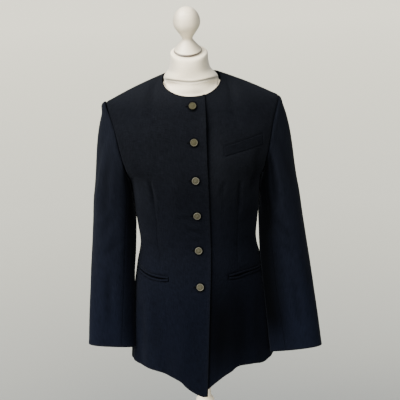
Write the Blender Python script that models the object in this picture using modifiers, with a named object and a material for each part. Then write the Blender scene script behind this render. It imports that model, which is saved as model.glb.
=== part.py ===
"""A buttoned wool coat on a limbless dress form with a turned stand.

Metres, +Z up. The origin is on the floor under the stand's column. The coat's front
faces -Y and +X is the wearer's left. Every panel is a thin wall between an outer
surface, worked out from the tables below, and the same surface moved in by the cloth's
thickness. Rows are counted from the hem up, and columns from the centre to the side.
"""
import math
from typing import NamedTuple

import bmesh
import bpy
from mathutils import Matrix, Vector

COLLECTION = "wool_coat_on_dress_form"

# Cloth
CLOTH = 0.0024            # wool with what is fused to its back
SEAM = 0.0003             # gap between two pieces at a seam
LAP_GAP = 0.0006          # gap where one panel lies over another
ON_PANEL = 0.0007         # gap under what is sewn on a panel

# Neckline: a tilted ellipse round the neck
NECK_HALF_WIDTH = 0.068
NECK_CENTRE_Y = -0.012
NECK_HALF_DEPTH = 0.054
NECK_FRONT_Z = 1.331
NECK_RISE = 0.036
NECK_POINT_ANGLE = 112.0  # degrees round from the centre front to the shoulder seam
BACK_NECK_RISE = 0.010

# Shoulder seam, from the neck point to the padded tip
TIP = Vector((0.2085, 0.0, 1.3180))
SHOULDER_CROWN = 0.0030
NECK_SHARE = 0.42         # share of a panel's columns that end at the neckline
RIDGE_SLOPE = 0.16        # how steeply a panel runs up to the shoulder seam
NECK_LEAN = 0.6           # how far a column follows the neckline at the neck point

# Armhole
UNDERARM_ROW = 8
UNDERARM_SCOOP = 0.040    # how far the armhole runs level before it turns up

# Front edges and hem
HEM_POINT_REACH = 0.098   # half width of the point at the centre front of the hem
SKIRT_ROWS = 3            # rows that follow the point of the hem
LEFT_HEM_LIFT = 0.19      # share of the lowest row that the left front is shorter by
LAP_START = 0.036         # the left front is sunk under the right one up to here
LAP_END = 0.078           # and back in its own place from here

# Buttons
BUTTON_RADIUS = 0.0101
BUTTON_COUNT = 6
TOP_BUTTON_Z = 1.3092
BUTTON_PITCH = 0.0884     # along the cloth

# Grids
NECK_COLUMNS = 4          # from the lap's edge to the neck point
SHOULDER_COLUMNS = 8      # from the neck point to the armhole
ROW_STEP = 2              # grid rows to each table row below the underarm
ARMHOLE_STEP = 3          # and above it
CAP_STEP = 5
SLEEVE_STEP = 2


class BodyRow(NamedTuple):
    """One level of the coat's body, with its centre front, its ends and its centre back."""

    front_y: float
    front_z: float
    front_end: tuple
    back_end: tuple
    back_y: float
    back_z: float
    front_turn: float     # degrees that the section has turned through at its end
    back_turn: float
    fullness: float       # 2 is an ellipse, more is squarer
    edge_x: float         # the right front's free edge


def seamed(front_y, front_z, side_x, side_z, back_y, back_z, fullness, edge_x):
    """A level at which the front and back meet at the side seam."""
    side = (side_x, 0.0, side_z)
    return BodyRow(front_y, front_z, side, side, back_y, back_z, 90, 90, fullness, edge_x)


# front_y, front_z, side_x, side_z, back_y, back_z, fullness, edge_x
BODY_ROWS = [
    seamed(-0.1400, 0.598, 0.1840, 0.661, 0.136, 0.652, 2.30, 0.0075),   # hem
    seamed(-0.1395, 0.690, 0.1790, 0.730, 0.137, 0.728, 2.30, 0.0130),   # skirt
    seamed(-0.1375, 0.780, 0.1720, 0.800, 0.136, 0.800, 2.28, 0.0185),   # low hip
    seamed(-0.1305, 0.860, 0.1640, 0.865, 0.130, 0.865, 2.25, 0.0235),   # hip
    seamed(-0.1200, 0.915, 0.1550, 0.915, 0.112, 0.915, 2.20, 0.0275),   # high hip
    seamed(-0.1120, 0.965, 0.1445, 0.965, 0.088, 0.965, 2.15, 0.0300),   # waist
    seamed(-0.1145, 1.015, 0.1485, 1.013, 0.086, 1.018, 2.15, 0.0300),   # ribs
    seamed(-0.1215, 1.070, 0.1540, 1.066, 0.094, 1.075, 2.20, 0.0295),   # under bust
    seamed(-0.1310, 1.130, 0.1590, 1.126, 0.102, 1.135, 2.25, 0.0290),   # underarm
    BodyRow(-0.1305, 1.165, (0.1665, -0.0600, 1.155), (0.1670, 0.0590, 1.160),
            0.105, 1.180, 62, 60, 2.25, 0.0290),                         # armhole notch
    BodyRow(-0.1240, 1.205, (0.1775, -0.0655, 1.203), (0.1790, 0.0675, 1.210),
            0.106, 1.230, 58, 58, 2.20, 0.0290),                         # chest
    BodyRow(-0.1050, 1.264, (0.1895, -0.0500, 1.258), (0.1925, 0.0530, 1.264),
            0.095, 1.305, 56, 54, 2.10, 0.0300),                         # yoke
]
TOP_ROW = len(BODY_ROWS)


class SleeveRow(NamedTuple):
    """One section of a sleeve: where its middle is and how wide and deep it is."""

    z: float
    x: float
    y: float
    half_width: float
    half_depth: float
    fullness: float


SLEEVE_ROWS = [
    SleeveRow(1.100, 0.1985, 0.001, 0.0530, 0.0640, 2.3),   # bicep
    SleeveRow(1.020, 0.2055, -0.003, 0.0555, 0.0600, 2.3),  # upper arm
    SleeveRow(0.940, 0.2130, -0.010, 0.0575, 0.0560, 2.3),  # elbow
    SleeveRow(0.860, 0.2200, -0.022, 0.0590, 0.0520, 2.4),  # forearm
    SleeveRow(0.780, 0.2270, -0.036, 0.0600, 0.0480, 2.4),  # lower forearm
    SleeveRow(0.700, 0.2330, -0.048, 0.0605, 0.0440, 2.4),  # cuff
]
CAP_LIFT = 0.30           # how far the sleeve head stands out before it falls
SLEEVE_CLEARANCE = 0.0016
SLEEVE_SOFTNESS = 0.0040  # how softly a sleeve bends where it is pressed off the body
FRONT_SLEEVE_SEAM = 8     # the sleeve's seams, in loop points on from the shoulder tip
BACK_SLEEVE_SEAM = 15


class Hang(NamedTuple):
    """How one sleeve hangs: how far its cuff is moved out, forward and down."""

    out: float
    forward: float
    drop: float


SLEEVE_HANG = {"right": Hang(-0.0065, -0.004, -0.013), "left": Hang(0.005, 0.012, 0.009)}


class Fold(NamedTuple):
    """A soft flute in the skirt: its column, width and depth at the hem, and its top row."""

    column: float
    width: float
    depth: float
    top: float


FRONT_FOLDS = {
    "right": [Fold(0.30, 0.10, 0.0030, 3.6), Fold(0.63, 0.13, 0.0042, 4.2),
              Fold(0.86, 0.08, 0.0024, 3.0)],
    "left": [Fold(0.33, 0.12, 0.0046, 4.0), Fold(0.60, 0.10, 0.0030, 3.4),
             Fold(0.84, 0.10, 0.0034, 3.6)],
}
BACK_FOLDS = {
    "right": [Fold(0.35, 0.16, 0.0050, 4.2), Fold(0.74, 0.12, 0.0036, 3.8)],
    "left": [Fold(0.28, 0.13, 0.0040, 3.8), Fold(0.66, 0.15, 0.0048, 4.2)],
}

# Pockets, as x and z along each line on the panel
HIP_POCKET_LINE = [(0.073, 0.8955), (0.105, 0.9015), (0.135, 0.9040), (0.1525, 0.9050)]
JET_HEIGHT = 0.0050
JET_THICKNESS = 0.0015
JET_SPACING = 0.0008
WELT_LOWER = [(0.0705, 1.1955), (0.1605, 1.2130)]
WELT_UPPER = [(0.0690, 1.2165), (0.1600, 1.2370)]
WELT_THICKNESS = 0.0018


class FormRow(NamedTuple):
    """One level of the dress form: a squared ellipse, with the shoulders' ridge over it."""

    z: float
    half_width: float
    front: float
    back: float
    fullness: float
    ridge: float          # how far out the shoulders reach at this level
    ridge_fullness: float
    tilt: float           # degrees that the section leans forward


FORM_ROWS = [
    FormRow(0.7450, 0.1560, -0.1060, 0.108, 2.3, 0.0, 1.0, 0),      # underside
    FormRow(0.7480, 0.1595, -0.1090, 0.112, 2.3, 0.0, 1.0, 0),
    FormRow(0.8000, 0.1610, -0.1130, 0.118, 2.2, 0.0, 1.0, 0),      # low hip
    FormRow(0.8600, 0.1540, -0.1130, 0.117, 2.2, 0.0, 1.0, 0),      # hip
    FormRow(0.9150, 0.1410, -0.1030, 0.100, 2.1, 0.0, 1.0, 0),
    FormRow(0.9650, 0.1280, -0.0930, 0.073, 2.1, 0.0, 1.0, 0),      # waist
    FormRow(1.0150, 0.1310, -0.0970, 0.071, 2.1, 0.0, 1.0, 0),
    FormRow(1.0700, 0.1390, -0.1080, 0.081, 2.1, 0.0, 1.0, 0),
    FormRow(1.1300, 0.1460, -0.1190, 0.091, 2.1, 0.0, 1.0, 0),      # bust
    FormRow(1.1700, 0.1500, -0.1180, 0.094, 2.1, 0.0, 1.0, 0),
    FormRow(1.2100, 0.1530, -0.1070, 0.093, 2.1, 0.0, 1.0, 0),      # chest
    FormRow(1.2600, 0.1560, -0.0880, 0.083, 2.0, 0.0, 1.0, 0),
    FormRow(1.3000, 0.1560, -0.0700, 0.068, 1.85, 0.0, 1.0, 0),
    FormRow(1.3200, 0.1530, -0.0600, 0.057, 1.7, 0.0, 1.0, 0),      # shoulder point
    FormRow(1.3330, 0.1480, -0.0545, 0.050, 1.35, 0.0, 1.0, 0),
    FormRow(1.3430, 0.0600, -0.0540, 0.046, 2.0, 0.1474, 0.96, 0),
    FormRow(1.3530, 0.0570, -0.0535, 0.042, 2.0, 0.1120, 0.80, 0),
    FormRow(1.3620, 0.0555, -0.0530, 0.039, 2.0, 0.0700, 1.00, 1),  # neck base
    FormRow(1.3700, 0.0545, -0.0535, 0.037, 2.0, 0.0, 1.0, 3),
    FormRow(1.3790, 0.0540, -0.0545, 0.034, 2.0, 0.0, 1.0, 6),
    FormRow(1.3910, 0.0525, -0.0565, 0.030, 2.0, 0.0, 1.0, 9),
    FormRow(1.4080, 0.0500, -0.0600, 0.025, 2.0, 0.0, 1.0, 12),
    FormRow(1.4200, 0.0480, -0.0610, 0.021, 2.0, 0.0, 1.0, 14),
    FormRow(1.4245, 0.0440, -0.0580, 0.016, 2.0, 0.0, 1.0, 14),
    FormRow(1.4262, 0.0330, -0.0480, 0.006, 2.0, 0.0, 1.0, 14),     # neck top
]
RIDGE_BLEND = 12.0        # how sharply the shoulders meet the neck
RIDGE_Y = 0.0045          # the shoulders' ridge, seen from the side
NECK_OFFSET = -0.0045     # the neck stands a little to the wearer's right of the coat
NECK_BLEND = (1.362, 1.384)
FORM_SIDES = 28

# Finial: radius and height above its own foot, from the top down
FINIAL_PROFILE = [
    (0.0, 0.1150), (0.0105, 0.1133), (0.0210, 0.1075), (0.0290, 0.0980), (0.0322, 0.0860),
    (0.0305, 0.0745), (0.0250, 0.0635), (0.0180, 0.0535), (0.0136, 0.0440),
    (0.0134, 0.0385), (0.0170, 0.0300), (0.0240, 0.0190), (0.0315, 0.0110),
    (0.0340, 0.0070), (0.0340, 0.0030), (0.0310, 0.0), (0.0, 0.0),
]
FINIAL_FOOT = Vector((-0.0050, -0.0212, 1.4266))
FINIAL_TILT = 14.0
FINIAL_SIDES = 22

# Stand: radius and height, from the top down
COLUMN_RADIUS = 0.0160
BALL_RADIUS = 0.0245
BALL_Z = 0.518
BASE_RADIUS = 0.185
BASE_TOP_Z = 0.046
STAND_SIDES = 32


def clear_scene() -> None:
    """Remove whatever the scene starts with."""
    for item in list(bpy.data.objects):
        bpy.data.objects.remove(item, do_unlink=True)


def make_collection(name):
    """A new collection, linked to the scene."""
    collection = bpy.data.collections.new(name)
    bpy.context.scene.collection.children.link(collection)
    return collection


def make_material(name, colour, roughness, metallic=0.0):
    """A plain finish."""
    material = bpy.data.materials.new(name)
    material.use_nodes = True
    shader = material.node_tree.nodes["Principled BSDF"]
    shader.inputs["Base Color"].default_value = (*colour, 1.0)
    shader.inputs["Roughness"].default_value = roughness
    shader.inputs["Metallic"].default_value = metallic
    return material


# Curves and surfaces

def hermite(start, leave, end, arrive, share):
    """The point part of the way along a curve given by its ends and their directions."""
    s2 = share * share
    s3 = s2 * share
    return (start * (2 * s3 - 3 * s2 + 1) + leave * (s3 - 2 * s2 + share)
            + end * (3 * s2 - 2 * s3) + arrive * (s3 - s2))


def smoothstep(low, high, value):
    """0 below low, 1 above high, and smooth between."""
    share = min(max((value - low) / (high - low), 0.0), 1.0)
    return share * share * (3 - 2 * share)


def scaled(direction, length):
    """A direction at a given length."""
    return direction.normalized() * length


def turned(angle, fullness):
    """The width and depth that a squared ellipse has covered at an angle."""
    power = 2.0 / fullness
    width = math.copysign(abs(math.sin(angle)) ** power, angle)
    depth = max(math.cos(angle), 0.0) ** power
    return width, depth


def row_point(index, column, back):
    """The outer surface at one table row, a share of the way from the centre to the side."""
    row = BODY_ROWS[index]
    centre_y, centre_z = (row.back_y, row.back_z) if back else (row.front_y, row.front_z)
    end_x, end_y, end_z = row.back_end if back else row.front_end
    turn = math.radians(row.back_turn if back else row.front_turn)
    width, depth = turned(turn * column, row.fullness)
    full_width, full_depth = turned(turn, row.fullness)
    x = end_x * width / full_width
    y = centre_y + (end_y - centre_y) * (1 - depth) / (1 - full_depth)
    if index < SKIRT_ROWS and not back:
        rise = min(abs(x) / HEM_POINT_REACH, 1.0)
    else:
        rise = column * column
    return Vector((x, y, centre_z + (end_z - centre_z) * rise))


def neckline_point(angle):
    """The neckline at an angle round from the centre front, in degrees."""
    turn = math.radians(min(angle, NECK_POINT_ANGLE))
    z = NECK_FRONT_Z + NECK_RISE * (1 - math.cos(turn))
    if angle > NECK_POINT_ANGLE:
        share = (angle - NECK_POINT_ANGLE) / (180 - NECK_POINT_ANGLE)
        z += BACK_NECK_RISE * math.sin(share * math.pi / 2)
    around = math.radians(angle)
    return Vector((NECK_HALF_WIDTH * math.sin(around),
                   NECK_CENTRE_Y - NECK_HALF_DEPTH * math.cos(around), z))


def top_point(column, back):
    """The panel's top edge: the neckline, then the shoulder seam."""
    if column <= NECK_SHARE:
        share = column / NECK_SHARE
        if back:
            return neckline_point(180 - (180 - NECK_POINT_ANGLE) * share)
        return neckline_point(NECK_POINT_ANGLE * share)
    share = (column - NECK_SHARE) / (1 - NECK_SHARE)
    point = neckline_point(NECK_POINT_ANGLE).lerp(TIP, share)
    point.z += SHOULDER_CROWN * math.sin(math.pi * share)
    return point


def body_row(index, column, back):
    """The outer surface at a table row, or at the top edge past the last one."""
    return top_point(column, back) if index == TOP_ROW else row_point(index, column, back)


def top_arrival(column, back, natural):
    """The direction in which a column meets the panel's top edge.

    It leans away from the neck beside the neck point, and crosses the shoulder seam.
    """
    step = 0.01
    corner = top_point(NECK_SHARE, back)
    along_neck = (corner - top_point(NECK_SHARE - step, back)).normalized()
    along_shoulder = (top_point(NECK_SHARE + step, back) - corner).normalized()
    at_corner = (along_neck * NECK_LEAN - along_shoulder * (1 - NECK_LEAN)).normalized()
    across = Vector((0.0, -1.0 if back else 1.0, RIDGE_SLOPE))
    direction = natural.normalized().lerp(at_corner,
                                          smoothstep(0.45 * NECK_SHARE, NECK_SHARE, column))
    return direction.lerp(across, smoothstep(NECK_SHARE, 1.5 * NECK_SHARE, column))


def body_point(column, level, back=False, cornered=True):
    """The body's outer surface on the +X side, at a column and a level in table rows.

    The columns near the side turn a corner at the underarm when cornered is set.
    """
    index = min(int(level), TOP_ROW - 1)
    start, end = (body_row(i, column, back) for i in (index, index + 1))
    chord = (end - start).length
    leave, arrive = end - start, end - start
    if index > 0:
        leave = end - body_row(index - 1, column, back)
    if index + 1 < TOP_ROW:
        arrive = body_row(index + 2, column, back) - start
    leave, arrive = scaled(leave, chord), scaled(arrive, chord)
    into_corner = smoothstep(0.72, 1.0, column) if cornered else 0.0
    if index == UNDERARM_ROW:
        level_run = Vector((0.0, UNDERARM_SCOOP if back else -UNDERARM_SCOOP, 0.0))
        leave = leave.lerp(level_run, into_corner)
    if index + 1 == UNDERARM_ROW:
        arrive = arrive.lerp(end - start, into_corner)
    if index + 1 == TOP_ROW:
        arrive = scaled(top_arrival(column, back, arrive), chord)
    return hermite(start, leave, end, arrive, level - index)


def body_normal(column, level, back=False):
    """The outward direction of the body's surface."""
    step = 0.01
    low_column, high_column = max(column - step, -1.0), min(column + step, 1.0)
    low, high = max(level - step, 0.0), min(level + step, float(TOP_ROW))
    across = (body_point(high_column, level, back, False)
              - body_point(low_column, level, back, False))
    up = body_point(column, high, back, False) - body_point(column, low, back, False)
    normal = across.cross(up) if not back else up.cross(across)
    return normal.normalized()


def fold_depth(folds, column, level):
    """How far the skirt's folds push the surface in."""
    depth = 0.0
    for fold in folds:
        across = max(1.0 - abs(column - fold.column) / fold.width, 0.0)
        down = 1.0 - smoothstep(0.0, fold.top, level)
        depth += fold.depth * across * across * (3 - 2 * across) * down
    return depth


def mirrored(point, side):
    """A point or direction of the +X side, on the side asked for: right is -X."""
    return Vector((-point.x, point.y, point.z)) if side == "right" else point.copy()


def levels():
    """The grid's levels, from the hem to the top."""
    below = [i / ROW_STEP for i in range(UNDERARM_ROW * ROW_STEP)]
    above = range((TOP_ROW - UNDERARM_ROW) * ARMHOLE_STEP + 1)
    return below + [UNDERARM_ROW + i / ARMHOLE_STEP for i in above]


def edge_column(level, distance):
    """The column that lies a distance from the centre front."""
    index = min(int(level), TOP_ROW - 1)
    shares = []
    for i in (index, index + 1):
        if i == TOP_ROW:
            angle = math.degrees(math.asin(distance / NECK_HALF_WIDTH))
            shares.append(angle / NECK_POINT_ANGLE * NECK_SHARE)
            continue
        row = BODY_ROWS[i]
        turn = math.radians(row.front_turn)
        reach = (distance / row.front_end[0]) ** (row.fullness / 2) * math.sin(turn)
        shares.append(math.asin(reach) / turn)
    share = level - index
    return shares[0] * (1 - share) + shares[1] * share


def right_edge_distance(level):
    """How far the right front's free edge passes the centre."""
    index = min(int(level), TOP_ROW - 2)
    share = level - index
    low, high = BODY_ROWS[index].edge_x, BODY_ROWS[min(index + 1, TOP_ROW - 1)].edge_x
    return low + (high - low) * min(share, 1.0)


def panel_columns(start):
    """Columns from the start to the side, one of them where the neckline ends."""
    near = [start + (NECK_SHARE - start) * i / NECK_COLUMNS for i in range(NECK_COLUMNS)]
    side = [NECK_SHARE + (1 - NECK_SHARE) * i / SHOULDER_COLUMNS
            for i in range(SHOULDER_COLUMNS + 1)]
    return near + side


# Walls

def wall_object(name, outer, inner, collection, material):
    """A closed wall between two grids of points, in rows from one end and columns across.

    Each cell is two triangles, cut along its shorter diagonal on both faces of the cloth.
    """
    bm = bmesh.new()
    face, lining = ([[bm.verts.new(p) for p in row] for row in grid]
                    for grid in (outer, inner))
    last_row, last_column = len(outer) - 1, len(outer[0]) - 1

    def cell(a, b, c, d, diagonal="ac"):
        if diagonal == "bd":
            a, b, c, d = b, c, d, a
        bm.faces.new((a, b, c))
        bm.faces.new((a, c, d))

    for i in range(last_row):
        for j in range(last_column):
            rising = (outer[i][j] - outer[i + 1][j + 1]).length
            falling = (outer[i][j + 1] - outer[i + 1][j]).length
            diagonal = "ac" if rising <= falling else "bd"
            cell(face[i][j], face[i][j + 1], face[i + 1][j + 1], face[i + 1][j], diagonal)
            cell(lining[i + 1][j + 1], lining[i][j + 1], lining[i][j], lining[i + 1][j],
                 diagonal)
    for j in range(last_column):
        cell(face[0][j + 1], face[0][j], lining[0][j], lining[0][j + 1])
        cell(face[last_row][j], face[last_row][j + 1], lining[last_row][j + 1],
             lining[last_row][j])
    for i in range(last_row):
        cell(face[i][0], face[i + 1][0], lining[i + 1][0], lining[i][0])
        cell(face[i][last_column], lining[i][last_column], lining[i + 1][last_column],
             face[i + 1][last_column])
    bmesh.ops.recalc_face_normals(bm, faces=bm.faces)
    mesh = bpy.data.meshes.new(name)
    bm.to_mesh(mesh)
    bm.free()
    mesh.shade_smooth()
    mesh.materials.append(material)
    item = bpy.data.objects.new(name, mesh)
    collection.objects.link(item)
    return item


def panel_surface(side, back, column, level):
    """A panel's outer point and outward direction, with the skirt's folds in it.

    At the shoulder seam the direction is halfway between the front's and the back's.
    """
    folds = (BACK_FOLDS if back else FRONT_FOLDS)[side]
    normal = body_normal(column, level, back)
    if level == TOP_ROW and column > 0:
        seamed_share = smoothstep(0.9 * NECK_SHARE, NECK_SHARE, column)
        other = body_normal(column, level, not back)
        normal = (normal + other * seamed_share).normalized()
    point = body_point(column, level, back) - normal * fold_depth(folds, column, level)
    return point, normal


def draw_back(grid, rows, column, toward):
    """Move one edge column of a grid half a seam toward the next column."""
    for i in rows:
        step = grid[i][toward] - grid[i][column]
        grid[i][column] += scaled(step, SEAM / 2)


def finish_panel(name, side, outer, inner, seam_columns, collection, material):
    """Open the seams of a panel by half a gap and build its wall on its own side."""
    last = len(outer) - 1
    below_armhole = range(UNDERARM_ROW * ROW_STEP + 1)
    for grid in (outer, inner):
        draw_back(grid, below_armhole, len(grid[0]) - 1, -2)
        for column in seam_columns["centre"]:
            draw_back(grid, range(last + 1), column, column + 1)
        for column in seam_columns["shoulder"]:
            step = grid[last - 1][column] - grid[last][column]
            grid[last][column] += scaled(step, SEAM / 2)
    grids = [[[mirrored(p, side) for p in row] for row in grid] for grid in (outer, inner)]
    return wall_object(name, *grids, collection, material)


def make_front(side, collection, material):
    """A front: the right one lies over the left at the centre."""
    outer, inner = [], []
    for level in levels():
        edge = edge_column(level, right_edge_distance(level))
        columns = [-edge, 0.0, *panel_columns(edge)]
        outer_row, inner_row = [], []
        for column in columns:
            lifted = level
            if side == "left" and level < 1:
                lift = LEFT_HEM_LIFT * (1 - level)
                lifted = level + lift * (1 - smoothstep(0.1, 0.7, column))
            point, normal = panel_surface(side, False, column, lifted)
            if side == "left":
                under = 1 - smoothstep(LAP_START, LAP_END, point.x)
                point -= normal * (CLOTH + LAP_GAP) * under
            outer_row.append(point)
            inner_row.append(point - normal * CLOTH)
        outer.append(outer_row)
        inner.append(inner_row)
    shoulder = [j for j, column in enumerate(columns) if column >= NECK_SHARE - 1e-6]
    seams = {"centre": [], "shoulder": shoulder}
    return finish_panel(f"front_{side}", side, outer, inner, seams, collection, material)


def make_back(side, collection, material):
    """A back, from the centre seam to the side seam and armhole."""
    columns = panel_columns(0.0)
    outer, inner = [], []
    for level in levels():
        surface = [panel_surface(side, True, column, level) for column in columns]
        outer.append([point for point, _ in surface])
        inner.append([point - normal * CLOTH for point, normal in surface])
    shoulder = [j for j, column in enumerate(columns) if column >= NECK_SHARE - 1e-6]
    seams = {"centre": [0], "shoulder": shoulder}
    return finish_panel(f"back_{side}", side, outer, inner, seams, collection, material)


# Sleeves

def body_side_x(y, z):
    """How far out the body reaches at a depth and a height below the armhole."""
    back = y > 0
    ends = [row.back_end[2] for row in BODY_ROWS[:UNDERARM_ROW + 2]]
    index = max(i for i in range(len(ends) - 1) if z >= ends[i] or i == 0)
    share = min(max((z - ends[index]) / (ends[index + 1] - ends[index]), 0.0), 1.0)
    widths = []
    for i in (index, index + 1):
        row = BODY_ROWS[min(i, UNDERARM_ROW)]
        depth = row.back_y if back else -row.front_y
        inside = max(1 - (abs(y) / depth) ** row.fullness, 0.0)
        widths.append(row.front_end[0] * inside ** (1 / row.fullness))
    return widths[0] * (1 - share) + widths[1] * share


def armhole_loop():
    """The armhole's corner points, outward directions and directions off the panel.

    They run from the shoulder tip down the front to the underarm and up the back.
    """
    count = (TOP_ROW - UNDERARM_ROW) * ARMHOLE_STEP
    loop = []
    for back in (False, True):
        for i in range(count):
            step = (count - i if not back else i) / ARMHOLE_STEP
            level = UNDERARM_ROW + step
            low, high = max(level - 0.02, UNDERARM_ROW), min(level + 0.02, TOP_ROW)
            rising = body_point(1.0, high, back) - body_point(1.0, low, back)
            normal = body_normal(1.0, level, back)
            away = rising.cross(normal) if not back else normal.cross(rising)
            loop.append((body_point(1.0, level, back), normal, away.normalized()))
    return loop


def sleeve_section(row, angle, hang, share):
    """A point on a sleeve's section, held clear of the body."""
    across, along = math.cos(angle), math.sin(angle)
    size = squared_reach(across, along, row.half_width, row.half_depth, row.fullness)
    y = row.y - size * along - hang.forward * share
    x = row.x + size * across + hang.out * share
    z = row.z - hang.drop * share
    limit = body_side_x(y, z) + SLEEVE_CLEARANCE
    pressed = (x + limit + math.hypot(x - limit, SLEEVE_SOFTNESS)) / 2
    return Vector((pressed, y, z))


def sleeve_rings(side):
    """The sleeve's outer rings from the armhole to the cuff, with the first inner ring."""
    loop = armhole_loop()
    count = len(loop)
    hang = SLEEVE_HANG[side]
    top_z, cuff_z = SLEEVE_ROWS[0].z, SLEEVE_ROWS[-1].z
    stations = []
    for row in SLEEVE_ROWS:
        share = (top_z - row.z) / (top_z - cuff_z)
        stations.append([sleeve_section(row, 2 * math.pi * k / count, hang, share)
                         for k in range(count)])
    first, lining, leaving = [], [], []
    for k, (corner, normal, away) in enumerate(loop):
        to_bicep = (stations[0][k] - corner).normalized()
        lift = CAP_LIFT * (0.5 + 0.5 * math.cos(2 * math.pi * k / count)) ** 0.7
        start = (to_bicep + Vector((lift, 0.0, 0.0))).normalized()
        turn = max(math.atan2(start.dot(normal), start.dot(away)), 0.0)
        gap = away * math.cos(turn / 2) + normal * math.sin(turn / 2)
        face = corner + gap * SEAM
        first.append(face)
        lining.append(face - CLOTH * (normal * math.cos(turn) - away * math.sin(turn)))
        leaving.append(start)
    stations.insert(0, first)
    rings = []
    for i in range(len(stations) - 1):
        steps = CAP_STEP if i == 0 else SLEEVE_STEP
        last = 1 if i == len(stations) - 2 else 0
        for step in range(steps + last):
            ring = []
            for k in range(count):
                start, end = stations[i][k], stations[i + 1][k]
                chord = (end - start).length
                leave = leaving[k] if i == 0 else end - stations[i - 1][k]
                after = stations[min(i + 2, len(stations) - 1)][k]
                ring.append(hermite(start, scaled(leave, chord), end,
                                    scaled(after - start, chord), step / steps))
            rings.append(ring)
    return rings, lining


def sleeve_lining(rings, first_lining):
    """The inner rings: each outer ring moved in by the cloth's thickness."""
    count = len(rings[0])
    inner = [first_lining]
    for i in range(1, len(rings)):
        below = rings[min(i + 1, len(rings) - 1)]
        above = rings[i - 1]
        ring = []
        for k in range(count):
            around = rings[i][(k + 1) % count] - rings[i][k - 1]
            down = below[k] - above[k]
            ring.append(rings[i][k] - scaled(around.cross(down), CLOTH))
        inner.append(ring)
    return inner


def across_seam(rings, i, k):
    """The direction round a sleeve that is square to its seam, at a ring and a loop point."""
    around = rings[i][(k + 1) % len(rings[i])] - rings[i][k - 1]
    down = rings[min(i + 1, len(rings) - 1)][k] - rings[max(i - 1, 0)][k]
    return around - around.project(down)


def make_sleeve(side, collection, material):
    """A two-piece sleeve: the top sleeve over the shoulder tip, the under sleeve below it."""
    outer, first_lining = sleeve_rings(side)
    inner = sleeve_lining(outer, first_lining)
    count = len(outer[0])
    pieces = {
        "top": [k % count for k in range(BACK_SLEEVE_SEAM, count + FRONT_SLEEVE_SEAM + 1)],
        "under": list(range(FRONT_SLEEVE_SEAM, BACK_SLEEVE_SEAM + 1)),
    }
    for piece, columns in pieces.items():
        grids = []
        for rings in (outer, inner):
            grid = []
            for i, ring in enumerate(rings):
                row = [ring[k].copy() for k in columns]
                for end, sign in ((0, 1), (-1, -1)):
                    row[end] += scaled(across_seam(outer, i, columns[end]), sign * SEAM / 2)
                grid.append([mirrored(p, side) for p in row])
            grids.append(grid)
        wall_object(f"sleeve_{piece}_{side}", *grids, collection, material)


# Pockets and welt

def locate(x, z, guess_level):
    """The column and level of the front's point nearest an x and a z."""
    column, level = 0.6, guess_level
    for _ in range(30):
        point = body_point(column, level)
        column += (x - point.x) / 0.19
        level += (z - point.z) / 0.055
        column = min(max(column, 0.0), 1.0)
    return column, level


def along_line(points, share):
    """The x and z a share of the way along a line of points."""
    position = share * (len(points) - 1)
    index = min(int(position), len(points) - 2)
    part = position - index
    (x0, z0), (x1, z1) = points[index], points[index + 1]
    return x0 + (x1 - x0) * part, z0 + (z1 - z0) * part


def make_strip(name, side, lower, upper, steps, thickness, level, collection, material):
    """A strip of cloth on a front, between two lines given as x and z."""
    outer, inner = [], []
    for line in (lower, upper):
        outer_row, inner_row = [], []
        for i in range(steps + 1):
            column, row = locate(*along_line(line, i / steps), level)
            point, normal = panel_surface(side, False, column, row)
            inner_row.append(mirrored(point + normal * ON_PANEL, side))
            outer_row.append(mirrored(point + normal * (ON_PANEL + thickness), side))
        outer.append(outer_row)
        inner.append(inner_row)
    return wall_object(name, outer, inner, collection, material)


def make_hip_pocket(side, collection, material):
    """The two jets of a hip pocket, above and below its mouth."""
    for place, low in (("upper", JET_SPACING / 2), ("lower", -JET_SPACING / 2 - JET_HEIGHT)):
        lower = [(x, z + low) for x, z in HIP_POCKET_LINE]
        upper = [(x, z + low + JET_HEIGHT) for x, z in HIP_POCKET_LINE]
        make_strip(f"hip_pocket_{place}_{side}", side, lower, upper, 9, JET_THICKNESS, 3.8,
                   collection, material)


# Turned pieces

def turned_object(name, profile, sides, collection, material, matrix):
    """A turned piece from its radii and heights, top to bottom."""
    mesh = bpy.data.meshes.new(name)
    points = [(radius, 0.0, height) for radius, height in profile]
    mesh.from_pydata(points, [(i, i + 1) for i in range(len(points) - 1)], [])
    mesh.materials.append(material)
    item = bpy.data.objects.new(name, mesh)
    item.matrix_world = matrix
    collection.objects.link(item)
    screw = item.modifiers.new("turn", "SCREW")
    screw.axis = "Z"
    screw.steps = sides
    screw.render_steps = sides
    screw.use_merge_vertices = True
    screw.merge_threshold = 0.00001
    screw.use_smooth_shade = True
    return item


def arc(centre_radius, centre_height, radius, start, end, steps):
    """Points of a profile round an arc, angles in degrees from straight out."""
    angles = [math.radians(start + (end - start) * i / steps) for i in range(steps + 1)]
    return [(max(centre_radius + radius * math.cos(a), 0.0),
             centre_height + radius * math.sin(a)) for a in angles]


def button_profile():
    """A shank button: a rolled rim round a low dome, with a short shank behind."""
    rim = 0.0011
    return [(0.0, 0.0040), (BUTTON_RADIUS * 0.45, 0.0037), (BUTTON_RADIUS * 0.76, 0.0031),
            *arc(BUTTON_RADIUS - rim, 0.0031, rim, 130, -60, 4),
            (BUTTON_RADIUS * 0.70, 0.0013), (0.0031, 0.0011), (0.0028, 0.0), (0.0, 0.0)]


def button_levels():
    """Levels of the buttons, evenly spaced down the centre front."""
    step = 0.002
    level = float(TOP_ROW)
    while body_point(0.0, level).z > TOP_BUTTON_Z:
        level -= step
    found, run, before = [level], 0.0, body_point(0.0, level)
    while len(found) < BUTTON_COUNT:
        level -= step
        point = body_point(0.0, level)
        run += (point - before).length
        before = point
        if run >= BUTTON_PITCH:
            found.append(level)
            run -= BUTTON_PITCH
    return found


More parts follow.
